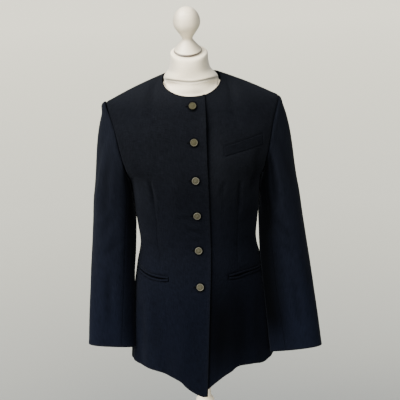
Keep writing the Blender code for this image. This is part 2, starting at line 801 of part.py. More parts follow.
def make_buttons(collection, material):
    """The row of buttons on the right front."""
    profile = button_profile()
    for number, level in enumerate(button_levels(), start=1):
        point, normal = panel_surface("right", False, 0.0, level)
        place = Matrix.Translation(point + normal * SEAM)
        matrix = place @ normal.to_track_quat("Z", "Y").to_matrix().to_4x4()
        turned_object(f"button_{number}", profile, 20, collection, material, matrix)


# Dress form and stand

def squared_reach(across, along, half_width, depth, fullness):
    """How far a squared ellipse reaches in a direction."""
    return ((abs(across) / half_width) ** fullness
            + (abs(along) / depth) ** fullness) ** (-1 / fullness)


def form_ring(row):
    """One ring of the dress form: its body or neck, joined softly to the shoulders."""
    middle = RIDGE_Y if row.tilt == 0 else (row.front + row.back) / 2
    offset = NECK_OFFSET * smoothstep(*NECK_BLEND, row.z)
    ring = []
    for k in range(FORM_SIDES):
        angle = 2 * math.pi * k / FORM_SIDES
        across, along = math.cos(angle), math.sin(angle)
        depth = row.back - middle if along > 0 else middle - row.front
        reach = squared_reach(across, along, row.half_width, depth, row.fullness)
        if row.ridge:
            ridge = squared_reach(across, along, row.ridge, depth, row.ridge_fullness)
            reach = (reach ** RIDGE_BLEND + ridge ** RIDGE_BLEND) ** (1 / RIDGE_BLEND)
        x, y = reach * across, middle + reach * along
        lean = (y - middle) * math.tan(math.radians(row.tilt))
        ring.append(Vector((x + offset, y, row.z + lean)))
    return ring


def make_form(collection, material):
    """The covered torso and neck, one closed body."""
    bm = bmesh.new()
    rings = [[bm.verts.new(point) for point in form_ring(row)] for row in FORM_ROWS]
    for below, above in zip(rings, rings[1:]):
        for k in range(FORM_SIDES):
            n = (k + 1) % FORM_SIDES
            bm.faces.new((below[k], below[n], above[n], above[k]))
    bm.faces.new(rings[0][::-1])
    bm.faces.new(rings[-1])
    bmesh.ops.recalc_face_normals(bm, faces=bm.faces)
    mesh = bpy.data.meshes.new("form_torso")
    bm.to_mesh(mesh)
    bm.free()
    mesh.shade_smooth()
    mesh.materials.append(material)
    collection.objects.link(bpy.data.objects.new("form_torso", mesh))


def make_finial(collection, material):
    """The turned finial on the neck, leaning with it."""
    lean = Matrix.Rotation(math.radians(FINIAL_TILT), 4, "X")
    matrix = Matrix.Translation(FINIAL_FOOT) @ lean
    turned_object("finial", FINIAL_PROFILE, FINIAL_SIDES, collection, material, matrix)


def make_stand(collection, material):
    """The column with its turned ball, and the round base that it stands on."""
    column_top = FORM_ROWS[0].z - SEAM
    meet = math.degrees(math.acos(COLUMN_RADIUS / BALL_RADIUS))
    ball = arc(0.0, BALL_Z, BALL_RADIUS, meet, -meet, 8)
    foot = BASE_TOP_Z + SEAM
    column = [(0.0, column_top), (0.030, column_top), (0.030, column_top - 0.012),
              (COLUMN_RADIUS, column_top - 0.020), *ball,
              (COLUMN_RADIUS, foot + 0.040), (0.030, foot), (0.0, foot)]
    turned_object("stand_column", column, 20, collection, material, Matrix())
    base = [(0.0, BASE_TOP_Z), (0.052, BASE_TOP_Z), (0.070, BASE_TOP_Z - 0.012),
            (0.150, 0.022), (BASE_RADIUS - 0.006, 0.018), (BASE_RADIUS, 0.012),
            (BASE_RADIUS, 0.004), (BASE_RADIUS - 0.004, 0.0), (0.0, 0.0)]
    turned_object("stand_base", base, STAND_SIDES, collection, material, Matrix())


def main() -> None:
    """Build the coat, the form and the stand."""
    clear_scene()
    collection = make_collection(COLLECTION)
    wool = make_material("wool", (0.010, 0.012, 0.020), 0.85)
    brass = make_material("antiqued_brass", (0.24, 0.21, 0.16), 0.42, 0.9)
    jersey = make_material("form_jersey", (0.78, 0.75, 0.71), 0.90)
    paint = make_material("white_paint", (0.82, 0.80, 0.77), 0.45)
    for side in ("right", "left"):
        make_front(side, collection, wool)
        make_back(side, collection, wool)
        make_sleeve(side, collection, wool)
        make_hip_pocket(side, collection, wool)
    make_strip("breast_welt", "left", WELT_LOWER, WELT_UPPER, 7, WELT_THICKNESS, 10.2,
               collection, wool)
    make_buttons(collection, brass)
    make_form(collection, jersey)
    make_finial(collection, paint)
    make_stand(collection, paint)


main()
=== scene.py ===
"""Dresses a buttoned wool coat, its limbless dress form and the form's turned stand.

Metres, +Z up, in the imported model's frame: the coat's front faces -Y and +X is the
wearer's left. A panel is worked out on the +X side and mirrored for the wearer's right.
Levels count the pattern's rows from the hem up, columns run from the centre to the side,
and a sleeve's turns run from the shoulder tip down its front and up its back.
"""

import logging
import math
from dataclasses import dataclass, field
from enum import Enum

import bpy
import numpy as np
from mathutils import Matrix, Vector
from mathutils.bvhtree import BVHTree


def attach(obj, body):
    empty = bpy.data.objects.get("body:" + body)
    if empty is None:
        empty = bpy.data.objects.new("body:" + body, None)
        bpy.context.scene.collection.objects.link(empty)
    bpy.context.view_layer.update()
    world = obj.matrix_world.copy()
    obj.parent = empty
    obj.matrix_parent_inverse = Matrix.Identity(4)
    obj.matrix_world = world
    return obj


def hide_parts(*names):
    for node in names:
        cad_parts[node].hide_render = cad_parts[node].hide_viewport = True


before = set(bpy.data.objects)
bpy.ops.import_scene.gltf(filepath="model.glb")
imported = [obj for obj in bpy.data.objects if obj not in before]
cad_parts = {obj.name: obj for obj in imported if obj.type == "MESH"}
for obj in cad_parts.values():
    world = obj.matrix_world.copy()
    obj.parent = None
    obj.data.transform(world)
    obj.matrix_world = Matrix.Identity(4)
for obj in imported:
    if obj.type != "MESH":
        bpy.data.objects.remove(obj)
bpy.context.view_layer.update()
BODY = "root"
LOG = logging.getLogger("coat")

BUTTON_Z = (1.3091, 1.2297, 1.1428, 1.0553, 0.9673, 0.8803)
CLOTH = 0.0024

Colour = tuple[float, float, float]
Place = tuple[float, float]
Point = tuple[float, float, float]
Lines = tuple[Place, ...]
Numbers = tuple[float, ...]
Array = np.ndarray
Item = bpy.types.Object
Material = bpy.types.Material
Socket = bpy.types.NodeSocket
EDGE_STEPS = (0.0, 0.0004, 0.0009, 0.0016, 0.0026, 0.0040)
EDGE_REACH = 0.0060
NOISE_RANGE = (0.3, 0.7)


class Side(Enum):
    """The wearer's side, and the sign of its X."""

    RIGHT = -1
    LEFT = 1

    @property
    def word(self) -> str:
        """The side's name as the nodes have it."""
        return self.name.lower()


class Face(Enum):
    """The coat's front or its back."""

    FRONT = "front"
    BACK = "back"


class Edge(Enum):
    """An edge of a grid of cloth: the axis across it, and whether it is the last."""

    FIRST_ROW = (0, False)
    LAST_ROW = (0, True)
    FIRST_COLUMN = (1, False)
    LAST_COLUMN = (1, True)


# Shared sums


def kept(value: object) -> object:
    """A field's default that is a table or a grid."""
    return field(default_factory=lambda: value)


def smoothstep(low: float, high: float, value: Array | float) -> Array:
    """0 below low, 1 above high, and smooth between."""
    share = np.clip((np.asarray(value, float) - low) / (high - low), 0.0, 1.0)
    return share * share * (3 - 2 * share)


def band(rise: Place, fall: Place, value: Array | float) -> Array:
    """1 between a rise and a fall, each given by its two ends, and 0 outside them."""
    return smoothstep(*rise, value) * (1 - smoothstep(*fall, value))


def hump(off: Array | float, width: Array | float, power: float = 2) -> Array:
    """A bell curve: 1 at no offset, and soon 0 past its width."""
    return np.exp(-(np.abs(off) / width) ** power)


def unit(vectors: Array) -> Array:
    """Vectors at length one."""
    length = np.linalg.norm(vectors, axis=-1, keepdims=True)
    return vectors / np.maximum(length, 1e-12)


def cubic(start: Array, leave: Array, end: Array, arrive: Array, share: float) -> Array:
    """Points on curves with given speeds at their two ends.

    Args:
        start: Where they start.
        leave: Their speeds there.
        end: Where they end.
        arrive: Their speeds there.
        share: How far along, from 0 to 1.

    Returns:
        The points.
    """
    s2, s3 = share ** 2, share ** 3
    return (start * (2 * s3 - 3 * s2 + 1) + leave * (s3 - 2 * s2 + share)
            + end * (3 * s2 - 2 * s3) + arrive * (s3 - s2))


def hermite(start: Array, leave: Array, end: Array, arrive: Array, share: float) -> Array:
    """Points on curves with given directions at their ends, at the chord's length."""
    chord = np.linalg.norm(end - start, axis=-1, keepdims=True)
    return cubic(start, unit(leave) * chord, end, unit(arrive) * chord, share)


def spline(stations: list[Array] | Array, place: float, first: Array | None = None) -> Array:
    """Points on smooth courses through stations.

    Args:
        stations: Points, or rings of points, in order.
        place: How far along, counted in stations.
        first: The direction in which the courses start, if it is set.

    Returns:
        The point or ring there.
    """
    last = len(stations) - 1
    i = min(int(place), last - 1)
    start, end = stations[i], stations[i + 1]
    leave = first if i == 0 and first is not None else end - stations[max(i - 1, 0)]
    arrive = stations[min(i + 2, last)] - start
    return hermite(start, leave, end, arrive, place - i)


def smooth_line(places: Lines | Array, step: float) -> Array:
    """A smooth line through places.

    Args:
        places: The places, in order.
        step: About how far apart the line's points are.

    Returns:
        The line's points.
    """
    places, line = np.array(places, float), []
    for i in range(len(places) - 1):
        count = max(int(np.linalg.norm(places[i + 1] - places[i]) / step), 1)
        line += [spline(places, i + k / count) for k in range(count)]
    return np.array([*line, places[-1]])


def edged(length: float, step: float) -> Array:
    """Shares of a length, finer near both ends.

    Args:
        length: The length.
        step: How far apart they are in its middle.

    Returns:
        The shares, from 0 to 1.
    """
    near = np.array(EDGE_STEPS)
    count = max(round((length - 2 * EDGE_REACH) / step), 1)
    middle = np.linspace(EDGE_REACH, length - EDGE_REACH, count + 1)
    return np.concatenate([near, middle, length - near[::-1]]) / length


def graded(start: float, end: float, shares: Array) -> Array:
    """Values at shares of the way from start to end."""
    return start + (end - start) * shares


def turned(angle: Array | float, fullness: float) -> tuple[Array, Array]:
    """How much of a squared ellipse lies within an angle.

    Args:
        angle: The angle from its centre line.
        fullness: How square it is, where 2 is an ellipse.

    Returns:
        Shares of its half width and of its depth.
    """
    power = 2.0 / fullness
    width = np.sign(angle) * np.abs(np.sin(angle)) ** power
    return width, np.maximum(np.cos(angle), 0.0) ** power


def squared_reach(across: Array, along: Array, half_width: float, depth: Array | float,
                  fullness: float) -> Array:
    """How far a squared ellipse reaches in directions given by their parts."""
    return ((np.abs(across) / half_width) ** fullness
            + (np.abs(along) / depth) ** fullness) ** (-1 / fullness)


def arc_lengths(points: Array, axis: int) -> Array:
    """Distances along a grid's lines.

    Args:
        points: The grid.
        axis: 0 for lines up the rows, and 1 for lines along them.

    Returns:
        The distances, from 0 at each line's start.
    """
    steps = np.linalg.norm(np.diff(points, axis=axis), axis=-1)
    first = np.zeros_like(np.take(steps, [0], axis=axis))
    return np.concatenate([first, np.cumsum(steps, axis=axis)], axis=axis)


def run_along(line: Array) -> Array:
    """Distances of a line's points from its start, along it."""
    return arc_lengths(line[:, None], 0)[:, 0]


def round_angles(sides: int) -> Array:
    """Evenly spaced angles of a full turn."""
    return np.linspace(0.0, 2 * math.pi, sides, endpoint=False)


# Relief at given places


@dataclass(frozen=True)
class Crease:
    """A soft trough in the cloth, or a ridge where its depth is negative.

    Places are (across, up) in metres on the piece, as seen from its own side.
    """

    start: Place
    end: Place
    width: float
    depth: float
    bow: float = 0.0
    shoulder: float = 0.35
    lead: float = 0.35
    tail: float = 0.35

    def push(self, across: Array, up: Array) -> Array:
        """How far the crease pushes the cloth in, in metres.

        Args:
            across: Places across the piece.
            up: Places up the piece.

        Returns:
            The depths.
        """
        dx, dz = self.end[0] - self.start[0], self.end[1] - self.start[1]
        length = math.hypot(dx, dz)
        along = ((across - self.start[0]) * dx + (up - self.start[1]) * dz) / length ** 2
        off = ((across - self.start[0]) * dz - (up - self.start[1]) * dx) / length
        inside = np.clip(along, 0.0, 1.0)
        off = np.abs(off - self.bow * 4 * inside * (1 - inside)) / self.width
        section = hump(off, 1.0) - self.shoulder * hump(off - 1.9, 0.9)
        return self.depth * section * band((0.0, self.lead), (1 - self.tail, 1.0), along)


@dataclass(frozen=True)
class SeamLine:
    """A sewn line on a piece, such as a dart: a narrow groove through some places."""

    places: Lines
    width: float = 0.0014
    depth: float = 0.0012
    bed: float = 0.0006
    fade: float = 0.012

    def push(self, across: Array, up: Array) -> Array:
        """How far the seam pulls the cloth in, in metres.

        Args:
            across: Places across the piece.
            up: Places up the piece.

        Returns:
            The depths.
        """
        line, heights = zip(*self.places)
        off = across - np.interp(up, heights, line)
        taper = band((heights[0], heights[0] + self.fade),
                     (heights[-1] - self.fade, heights[-1]), up)
        return taper * (self.depth * hump(off, self.width)
                        + self.bed * hump(off, self.width * 5))


@dataclass(frozen=True)
class Bed:
    """A shallow bed between two lines, in which a strip lies flush with the cloth."""

    lower: Lines
    upper: Lines
    depth: float
    margin: float = 0.0042

    def push(self, across: Array, up: Array) -> Array:
        """How far the bed lies in, in metres.

        Args:
            across: Places across the piece.
            up: Places up the piece.

        Returns:
            The depths.
        """
        low = np.interp(across, *zip(*self.lower))
        high = np.interp(across, *zip(*self.upper))
        inside = np.minimum(up - low, high - up)
        ends = np.minimum(across - self.lower[0][0], self.lower[-1][0] - across)
        return self.depth * smoothstep(-self.margin, -0.0004, np.minimum(inside, ends))


@dataclass(frozen=True)
class Flute:
    """A soft flute in the skirt: its column, width and depth at the hem, and top level."""

    column: float
    width: float
    depth: float
    top: float

    def push(self, columns: Array, levels: Array) -> Array:
        """How far the flute pushes the cloth in, in metres.

        Args:
            columns: The grid's columns.
            levels: The grid's levels.

        Returns:
            The depths.
        """
        across = np.maximum(1.0 - np.abs(columns - self.column) / self.width, 0.0)
        down = 1.0 - smoothstep(0.0, self.top, levels)
        return self.depth * across * across * (3 - 2 * across) * down


# Finishes


@dataclass
class NodeBench:
    """Adds and links nodes of one tree."""

    tree: bpy.types.NodeTree

    def plug(self, node: bpy.types.Node, key: str | int, value: object) -> None:
        """Set a node's input, or link another node's output socket to it.

        Args:
            node: The node.
            key: The input's name or index.
            value: Its value, or the socket to link to it.
        """
        if isinstance(value, Socket):
            self.tree.links.new(value, node.inputs[key])
        else:
            node.inputs[key].default_value = value

    def add(self, kind: str, inputs: dict[str | int, object] | None = None,
            **settings: object) -> bpy.types.Node:
        """A new node.

        Args:
            kind: The node's type.
            inputs: Values, or other nodes' output sockets, by input name or index.
            settings: Properties of the node.

        Returns:
            The node.
        """
        node = self.tree.nodes.new(kind)
        for key, value in settings.items():
            setattr(node, key, value)
        for key, value in (inputs or {}).items():
            self.plug(node, key, value)
        return node

    def sum(self, first: Socket | float, second: Socket | float,
            operation: str = "ADD") -> Socket:
        """Two values put together, by an operation of the Math node."""
        return self.add("ShaderNodeMath", {0: first, 1: second},
                        operation=operation).outputs["Value"]


@dataclass
class MaterialBench(NodeBench):
    """A bench with a new material on it."""

    material: Material

    @classmethod
    def named(cls, name: str) -> "MaterialBench":
        """A bench with a new material on it.

        Args:
            name: The material's name.

        Returns:
            The bench.
        """
        material = bpy.data.materials.new(name)
        material.use_nodes = True
        return cls(material.node_tree, material)

    def where(self, kind: str = "Object") -> Socket:
        """The object's own coordinates, or its UV map's."""
        return self.add("ShaderNodeTexCoord").outputs[kind]

    def height(self) -> Socket:
        """The height of each place."""
        return self.add("ShaderNodeSeparateXYZ", {0: self.where()}).outputs["Z"]

    def attribute(self, name: str) -> Socket:
        """The value that a piece keeps at its points."""
        return self.add("ShaderNodeAttribute", attribute_name=name).outputs["Fac"]

    def mapped(self, vector: Socket, scale: Point = (1.0, 1.0, 1.0),
               turn: float = 0.0) -> Socket:
        """Coordinates scaled, and turned by degrees about Z."""
        turns = (0.0, 0.0, math.radians(turn))
        return self.add("ShaderNodeMapping", {"Vector": vector, "Scale": scale,
                                              "Rotation": turns}).outputs["Vector"]

    def noise(self, vector: Socket, scale: float, detail: float = 2.0,
              roughness: float = 0.5) -> Socket:
        """A noise texture's value, with about as many features to the metre as its scale."""
        return self.add("ShaderNodeTexNoise", {"Vector": vector, "Scale": scale,
                                               "Detail": detail,
                                               "Roughness": roughness}).outputs["Fac"]

    def bands(self, vector: Socket, scale: float, distortion: float) -> Socket:
        """A wave texture's value, in bands across X."""
        return self.add("ShaderNodeTexWave", {"Vector": vector, "Scale": scale,
                                              "Distortion": distortion, "Detail": 1.0},
                        wave_type="BANDS", bands_direction="X").outputs["Fac"]

    def remap(self, value: Socket, source: Place, target: Place) -> Socket:
        """A value moved from one range to another."""
        return self.add("ShaderNodeMapRange", {
            "Value": value, "From Min": source[0], "From Max": source[1],
            "To Min": target[0], "To Max": target[1]}).outputs["Result"]

    def spread(self, noise: Socket, low: float, high: float) -> Socket:
        """A noise's value moved from its usual range to another."""
        return self.remap(noise, NOISE_RANGE, (low, high))

    def ramp(self, value: Socket | float, low: Socket | Colour, high: Socket | Colour,
             blend: str = "MIX") -> Socket:
        """A colour between two.

        Args:
            value: 0 gives the low colour, and 1 the high one.
            low: The first colour.
            high: The second colour.
            blend: How they are blended.

        Returns:
            The colour socket.
        """
        node = self.add("ShaderNodeMix", data_type="RGBA", blend_type=blend,
                        clamp_factor=True)
        for key, given in (("Factor", value), (6, low), (7, high)):
            self.plug(node, key, (*given, 1.0) if isinstance(given, tuple) else given)
        return node.outputs[2]

    def bump(self, height: Socket, strength: float, distance: float,
             under: Socket | None = None) -> Socket:
        """A bumped normal.

        Args:
            height: How high the surface is.
            strength: How strong the bumps are, from 0 to 1.
            distance: How high they stand.
            under: The normal under them, if there is one.

        Returns:
            The normal's socket.
        """
        inputs = {"Height": height, "Strength": strength, "Distance": distance}
        if under is not None:
            inputs["Normal"] = under
        return self.add("ShaderNodeBump", inputs).outputs["Normal"]

    def finish(self, inputs: dict[str, object]) -> Material:
        """Finish the material.

        Args:
            inputs: Values or sockets by the main shader's input names.

        Returns:
            The material.
        """
        for key, value in inputs.items():
            self.plug(self.tree.nodes["Principled BSDF"], key, value)
        return self.material


@dataclass(frozen=True)
class WoolTwill:
    """Near-black wool with a fine twill, a soft nap and rubbed edges, and painted light: darker and
    bluer low down, lighter where the wear attribute paints light, and near-black where the shade
    attribute paints shade.
    """

    name: str
    dark: Colour = (0.0013, 0.0016, 0.0021)
    light: Colour = (0.0031, 0.0037, 0.0047)
    rubbed: Colour = (0.0052, 0.0058, 0.0074)
    hollow: Colour = (0.0001, 0.0002, 0.0004)
    twill_period: float = 0.0012
    sheen: float = 0.014
    gloss: float = 0.018
    low_tint: Colour = (0.64, 0.71, 1.16)
    high_tint: Colour = (0.95, 0.91, 1.02)

    def make(self) -> Material:
        """The material."""
        bench = MaterialBench.named(self.name)
        place, cut = bench.where(), bench.where("UV")
        twill = bench.bands(bench.mapped(cut, turn=63.0),
                            math.pi / (10 * self.twill_period), 1.2)
        fibre = bench.noise(cut, 1500.0, 3.0, 0.7)
        cloud = bench.noise(place, 9.0, 4.0, 0.62)
        fleck = bench.noise(cut, 260.0, 2.0, 0.6)
        tone = bench.sum(bench.spread(cloud, 0.10, 0.35), bench.spread(fleck, 0.06, 0.24))
        for stretch in ((60.0, 420.0, 1.0), (420.0, 60.0, 1.0)):
            slub = bench.noise(bench.mapped(cut, stretch), 1.0, 1.0)
            tone = bench.sum(tone, bench.spread(slub, -0.24, 0.24))
        tone = bench.sum(tone, bench.sum(twill, 0.18, "MULTIPLY"))
        # Painted shade by height: the cloth is darker and bluer towards the bottom.
        tint = bench.ramp(bench.remap(bench.height(), (0.80, 1.15), (0.0, 1.0)),
                          self.low_tint, self.high_tint)
        cloth = bench.ramp(1.0, bench.ramp(tone, self.dark, self.light), tint, "MULTIPLY")
        patchy = bench.sum(bench.attribute("wear"),
                           bench.remap(fleck, (0.35, 0.65), (0.25, 0.75)), "MULTIPLY")
        # Rubbed edges, and painted light where the wear attribute carries it.
        worn = bench.ramp(patchy, cloth, self.rubbed)
        weave = bench.sum(bench.sum(twill, 0.7, "MULTIPLY"), fibre)
        fine = bench.bump(weave, 0.35, 0.00035)
        return bench.finish({
            # Painted shade: the shade attribute darkens the cloth towards near-black.
            "Base Color": bench.ramp(bench.attribute("shade"), worn, self.hollow),
            "Roughness": bench.spread(cloud, 0.80, 0.93),
            "Normal": bench.bump(bench.noise(place, 38.0, 3.0), 0.20, 0.0022, fine),
            "Specular IOR Level": self.gloss, "Sheen Weight": self.sheen,
            "Sheen Roughness": 0.45, "Sheen Tint": (0.72, 0.80, 1.0, 1.0)})


@dataclass(frozen=True)
class DarkFibre:
    """Dark thread for buttonholes, and the painted shadow inside a buttonhole's slit."""

    name: str
    dark: Colour
    light: Colour
    scale: float
    roughness: Place
    gloss: float

    def make(self) -> Material:
        """The material."""
        bench = MaterialBench.named(self.name)
        strand = bench.noise(bench.where(), self.scale)
        return bench.finish({"Base Color": bench.ramp(strand, self.dark, self.light),
                             "Roughness": bench.spread(strand, *self.roughness),
                             "Specular IOR Level": self.gloss})


@dataclass(frozen=True)
class AntiquedBrass:
    """Brass with dark patina in its hollows, and painted shade that makes the upper buttons less
    bright.
    """

    name: str = "antiqued_brass"
    patina: Colour = (0.030, 0.027, 0.013)
    metal: Colour = (0.072, 0.069, 0.057)

    def make(self) -> Material:
        """The material."""
        bench = MaterialBench.named(self.name)
        where = bench.where()
        tone = bench.sum(bench.attribute("relief"),
                         bench.spread(bench.noise(where, 420.0, 3.0), -0.22, 0.22))
        # Painted shade: darker towards the upper buttons.
        tone = bench.sum(tone, bench.remap(bench.height(), (1.15, 1.31), (0.0, -0.75)))
        return bench.finish({
            "Base Color": bench.ramp(tone, self.patina, self.metal),
            "Roughness": bench.remap(tone, (0.0, 1.0), (0.80, 0.62)), "Metallic": 0.35,
            "Specular IOR Level": 0.15,
            "Normal": bench.bump(bench.noise(where, 2600.0), 0.25, 0.0001)})


@dataclass(frozen=True)
class FormJersey:
    """Off-white stretch jersey, with a fine knit, a faint random soiling, and painted shade from
    its shade attribute.
    """

    name: str = "form_jersey"
    clean: Colour = (0.74, 0.650, 0.485)
    soiled: Colour = (0.68, 0.585, 0.425)
    dusty: Colour = (0.20, 0.185, 0.150)

    def make(self) -> Material:
        """The material."""
        bench = MaterialBench.named(self.name)
        cloud = bench.noise(bench.where(), 14.0, 4.0, 0.6)
        cloth = bench.ramp(bench.remap(cloud, (0.45, 0.75), (0.0, 0.8)),
                           self.clean, self.soiled)
        cut = bench.where("UV")
        knit = bench.sum(bench.bands(cut, 260.0, 0.6), bench.noise(cut, 1300.0))
        return bench.finish({
            # Painted shade from the shade attribute.
            "Base Color": bench.ramp(bench.attribute("shade"), cloth, self.dusty),
            "Roughness": bench.spread(cloud, 0.86, 0.95),
            "Normal": bench.bump(knit, 0.30, 0.0003),
            "Sheen Weight": 0.25, "Specular IOR Level": 0.25})


@dataclass(frozen=True)
class WhitePaint:
    """Satin paint on turned wood, brushed round, with a few faint marks, and painted shade from its
    shade attribute.
    """

    name: str = "white_paint"
    fresh: Colour = (0.67, 0.585, 0.44)
    yellowed: Colour = (0.56, 0.475, 0.34)
    dusty: Colour = (0.21, 0.190, 0.150)

    def make(self) -> Material:
        """The material."""
        bench = MaterialBench.named(self.name)
        where = bench.where()
        strokes = bench.noise(bench.mapped(where, (14.0, 14.0, 240.0)), 1.0, 3.0)
        cloud = bench.noise(where, 22.0, 4.0)
        age = bench.sum(cloud, bench.sum(strokes, 0.3, "MULTIPLY"))
        colour = bench.ramp(bench.remap(age, (0.55, 0.95), (0.0, 0.8)),
                            self.fresh, self.yellowed)
        return bench.finish({
            # Painted shade from the shade attribute.
            "Base Color": bench.ramp(bench.attribute("shade"), colour, self.dusty),
            "Roughness": bench.spread(cloud, 0.38, 0.52),
            "Normal": bench.bump(strokes, 0.25, 0.0004),
            "Coat Weight": 0.15, "Coat Roughness": 0.35})


@dataclass(frozen=True)
class StudioFloor:
    """Pale floor, painted darker near the form and lighter far off as painted light, with a very
    faint unevenness.
    """

    name: str = "studio_floor"
    far: Colour = (0.428, 0.409, 0.333)
    middle: Colour = (0.294, 0.289, 0.245)
    near: Colour = (0.132, 0.137, 0.132)

    def make(self) -> Material:
        """The material."""
        bench = MaterialBench.named(self.name)
        where = bench.where()
        reach = bench.add("ShaderNodeVectorMath", {0: where}, operation="LENGTH")
        reach = bench.sum(reach.outputs["Value"], 2.0, "LOGARITHM")
        cloud = bench.sum(bench.noise(where, 0.8), 0.06, "MULTIPLY")
        close = bench.sum(bench.remap(reach, (0.0, 2.2), (0.0, 1.0)), cloud)
        away = bench.remap(reach, (2.2, 5.0), (0.0, 1.0))
        # Painted light: the colour runs from dark near the form to pale far off.
        base = bench.ramp(away, bench.ramp(close, self.near, self.middle), self.far)
        return bench.finish({"Base Color": base, "Roughness": 0.9,
                             "Specular IOR Level": 0.1})


# Meshes


def place_object(name: str, data: bpy.types.ID) -> Item:
    """A new object in the scene.

    Args:
        name: Its name.
        data: Its mesh, light or camera.

    Returns:
        The object.
    """
    item = bpy.data.objects.new(name, data)
    bpy.context.scene.collection.objects.link(item)
    return item


def mark(item: Item, name: str, values: Array, rest: float = 0.0) -> None:
    """Keep a value at each point of a piece, for its finish.

    Args:
        item: The piece.
        name: The value's name.
        values: The values of its first points, in order.
        rest: The value of the others.
    """
    every = np.full(len(item.data.vertices), rest)
    every[:values.size] = values.reshape(-1)
    item.data.attributes.new(name, "FLOAT", "POINT").data.foreach_set("value", every)


def make_object(name: str, vertices: Array, faces: Array, uv: Array) -> Item:
    """A smooth closed object of faces of up to four sides, turned outwards.

    Args:
        name: The object's name.
        vertices: Its points.
        faces: Its faces' corners.
        uv: A place on the UV map for each point.

    Returns:
        The object, linked to the scene.
    """
    a, b, c, d = (vertices[faces[:, i]] for i in range(4))
    volume = (a * (np.cross(b, c) + np.cross(c, d))).sum()
    if volume < 0:
        faces = faces[:, ::-1]
    mesh = bpy.data.meshes.new(name)
    corners = [[v for i, v in enumerate(face) if v != face[i - 1]] for face in faces.tolist()]
    mesh.from_pydata(vertices.tolist(), [], corners)
    layer = mesh.uv_layers.new(name="cloth")
    used = np.empty(len(mesh.loops), np.int32)
    mesh.loops.foreach_get("vertex_index", used)
    layer.data.foreach_set("uv", uv[used].reshape(-1))
    mesh.shade_smooth()
    return place_object(name, mesh)


@dataclass
class Sheeting:
    """Cloth as a grid of outer points and directions, made a closed wall."""

    points: Array
    normals: Array
    thickness: float
    down: Array = field(init=False)
    pinch: Array = field(init=False)
    wear: Array = field(init=False)
    shade: Array = field(init=False)

    def __post_init__(self) -> None:
        """Start with no relief, wear, painted light or painted shade, and square edges."""
        shape = self.points.shape[:2]
        self.down, self.pinch, self.wear, self.shade = (np.zeros(shape) for _ in range(4))

    @classmethod
    def of_rows(cls, rows: list[list[tuple[Vector, Vector]]], thickness: float) -> "Sheeting":
        """Sheeting from rows of points with their outward directions."""
        grid = np.array(rows)
        return cls(grid[:, :, 0], grid[:, :, 1], thickness)

    def distance(self, edge: Edge) -> Array:
        """How far each point lies from an edge of the grid, along the cloth.

        Args:
            edge: The edge.

        Returns:
            The distances.
        """
        axis, last = edge.value
        lengths = arc_lengths(self.points, axis)
        return np.take(lengths, [-1], axis=axis) - lengths if last else lengths

    def narrow(self, away: Array, radius: float, weight: Array | float) -> None:
        """Round the wall's corners off at an edge.

        Args:
            away: Distances from the edge.
            radius: How far in the rounding reaches.
            weight: How strong it is.
        """
        inside = 1 - np.minimum(away / radius, 1.0)
        self.pinch = np.maximum(self.pinch, (1 - np.sqrt(1 - inside ** 2)) * weight)

    def round_edge(self, edge: Edge, weight: Array | float = 1.0, turning: float = 0.0003,
                   rub: float = 1.0) -> None:
        """Roll a free edge over, with the slight ridge of its turning behind it.

        Args:
            edge: The edge.
            weight: How much of this edge is free, from 0 to 1.
            turning: How far the ridge stands up.
            rub: How worn the edge is.
        """
        away = self.distance(edge)
        self.narrow(away, self.thickness / 2, 0.92 * weight)
        self.down = self.down - turning * hump(away - 0.004, 0.003) * weight
        self.wear = np.maximum(self.wear, np.exp(-away / 0.0022) * weight * rub)

    def press(self, relief: Array, painted_shade: float) -> None:
        """Push the cloth in, and paint shade into it by a share for two millimetres."""
        self.down = self.down + relief
        self.shade = self.shade + painted_shade * np.clip(relief / 0.002, 0.0, 1.0)

    def sew_edge(self, edge: Edge, weight: Array | float = 1.0, depth: float = 0.0011,
                 width: float = 0.0026, swell: float = 0.0004, line: float = 0.8) -> None:
        """Draw an edge down into its seam, with the cloth pressed up beside it.

        Args:
            edge: The edge.
            weight: How much of this edge is sewn, from 0 to 1.
            depth: How far the seam pulls it in.
            width: How wide the dip is.
            swell: How far the cloth stands up beside it.
            line: How dark the painted shade along the seam is.
        """
        away = self.distance(edge)
        dip = depth * hump(away, width, 1.5) - swell * hump(away - 0.007, 0.004)
        self.down = self.down + dip * weight
        # Painted shade along the seam.
        self.shade = self.shade + line * hump(away, 0.0017, 1.5) * weight
        self.narrow(away, self.thickness * 0.35, 0.5 * weight)

    def build(self, name: str, side: Side | None = None) -> Item:
        """The wall as an object with its relief, UV map, wear and painted light, and painted shade.

        Args:
            name: The object's name.
            side: The wearer's side, or None to leave the points as they are.

        Returns:
            The object.
        """
        half = self.pinch * self.thickness / 2
        outer = self.points - self.normals * (self.down + half)[..., None]
        inner = self.points - self.normals * (self.down + self.thickness - half)[..., None]
        rows, columns = outer.shape[:2]
        count = rows * columns
        vertices = np.concatenate([outer.reshape(-1, 3), inner.reshape(-1, 3)])
        if side is Side.RIGHT:
            vertices = vertices * np.array([-1.0, 1.0, 1.0])
        index = np.arange(count).reshape(rows, columns)
        cells = np.stack([index[:-1, :-1], index[:-1, 1:], index[1:, 1:], index[1:, :-1]],
                         axis=-1).reshape(-1, 4)
        rim = np.concatenate([index[0, :], index[1:, -1], index[-1, -2::-1],
                              index[-2:0:-1, 0]])
        after = np.roll(rim, -1)
        edge = np.stack([after, rim, rim + count, after + count], axis=-1)
        faces = np.concatenate([cells, cells[:, ::-1] + count, edge])
        lengths = [arc_lengths(self.points, axis).reshape(-1) for axis in (1, 0)]
        item = make_object(name, vertices, faces, np.tile(np.stack(lengths, axis=-1), (2, 1)))
        # The wear value lightens the cloth, for real rubbed edges and for painted light; the shade
        # value paints shade.
        for key, grid in (("wear", self.wear), ("shade", np.clip(self.shade, 0.0, 1.0))):
            mark(item, key, np.tile(grid.reshape(-1), 2))
        return item


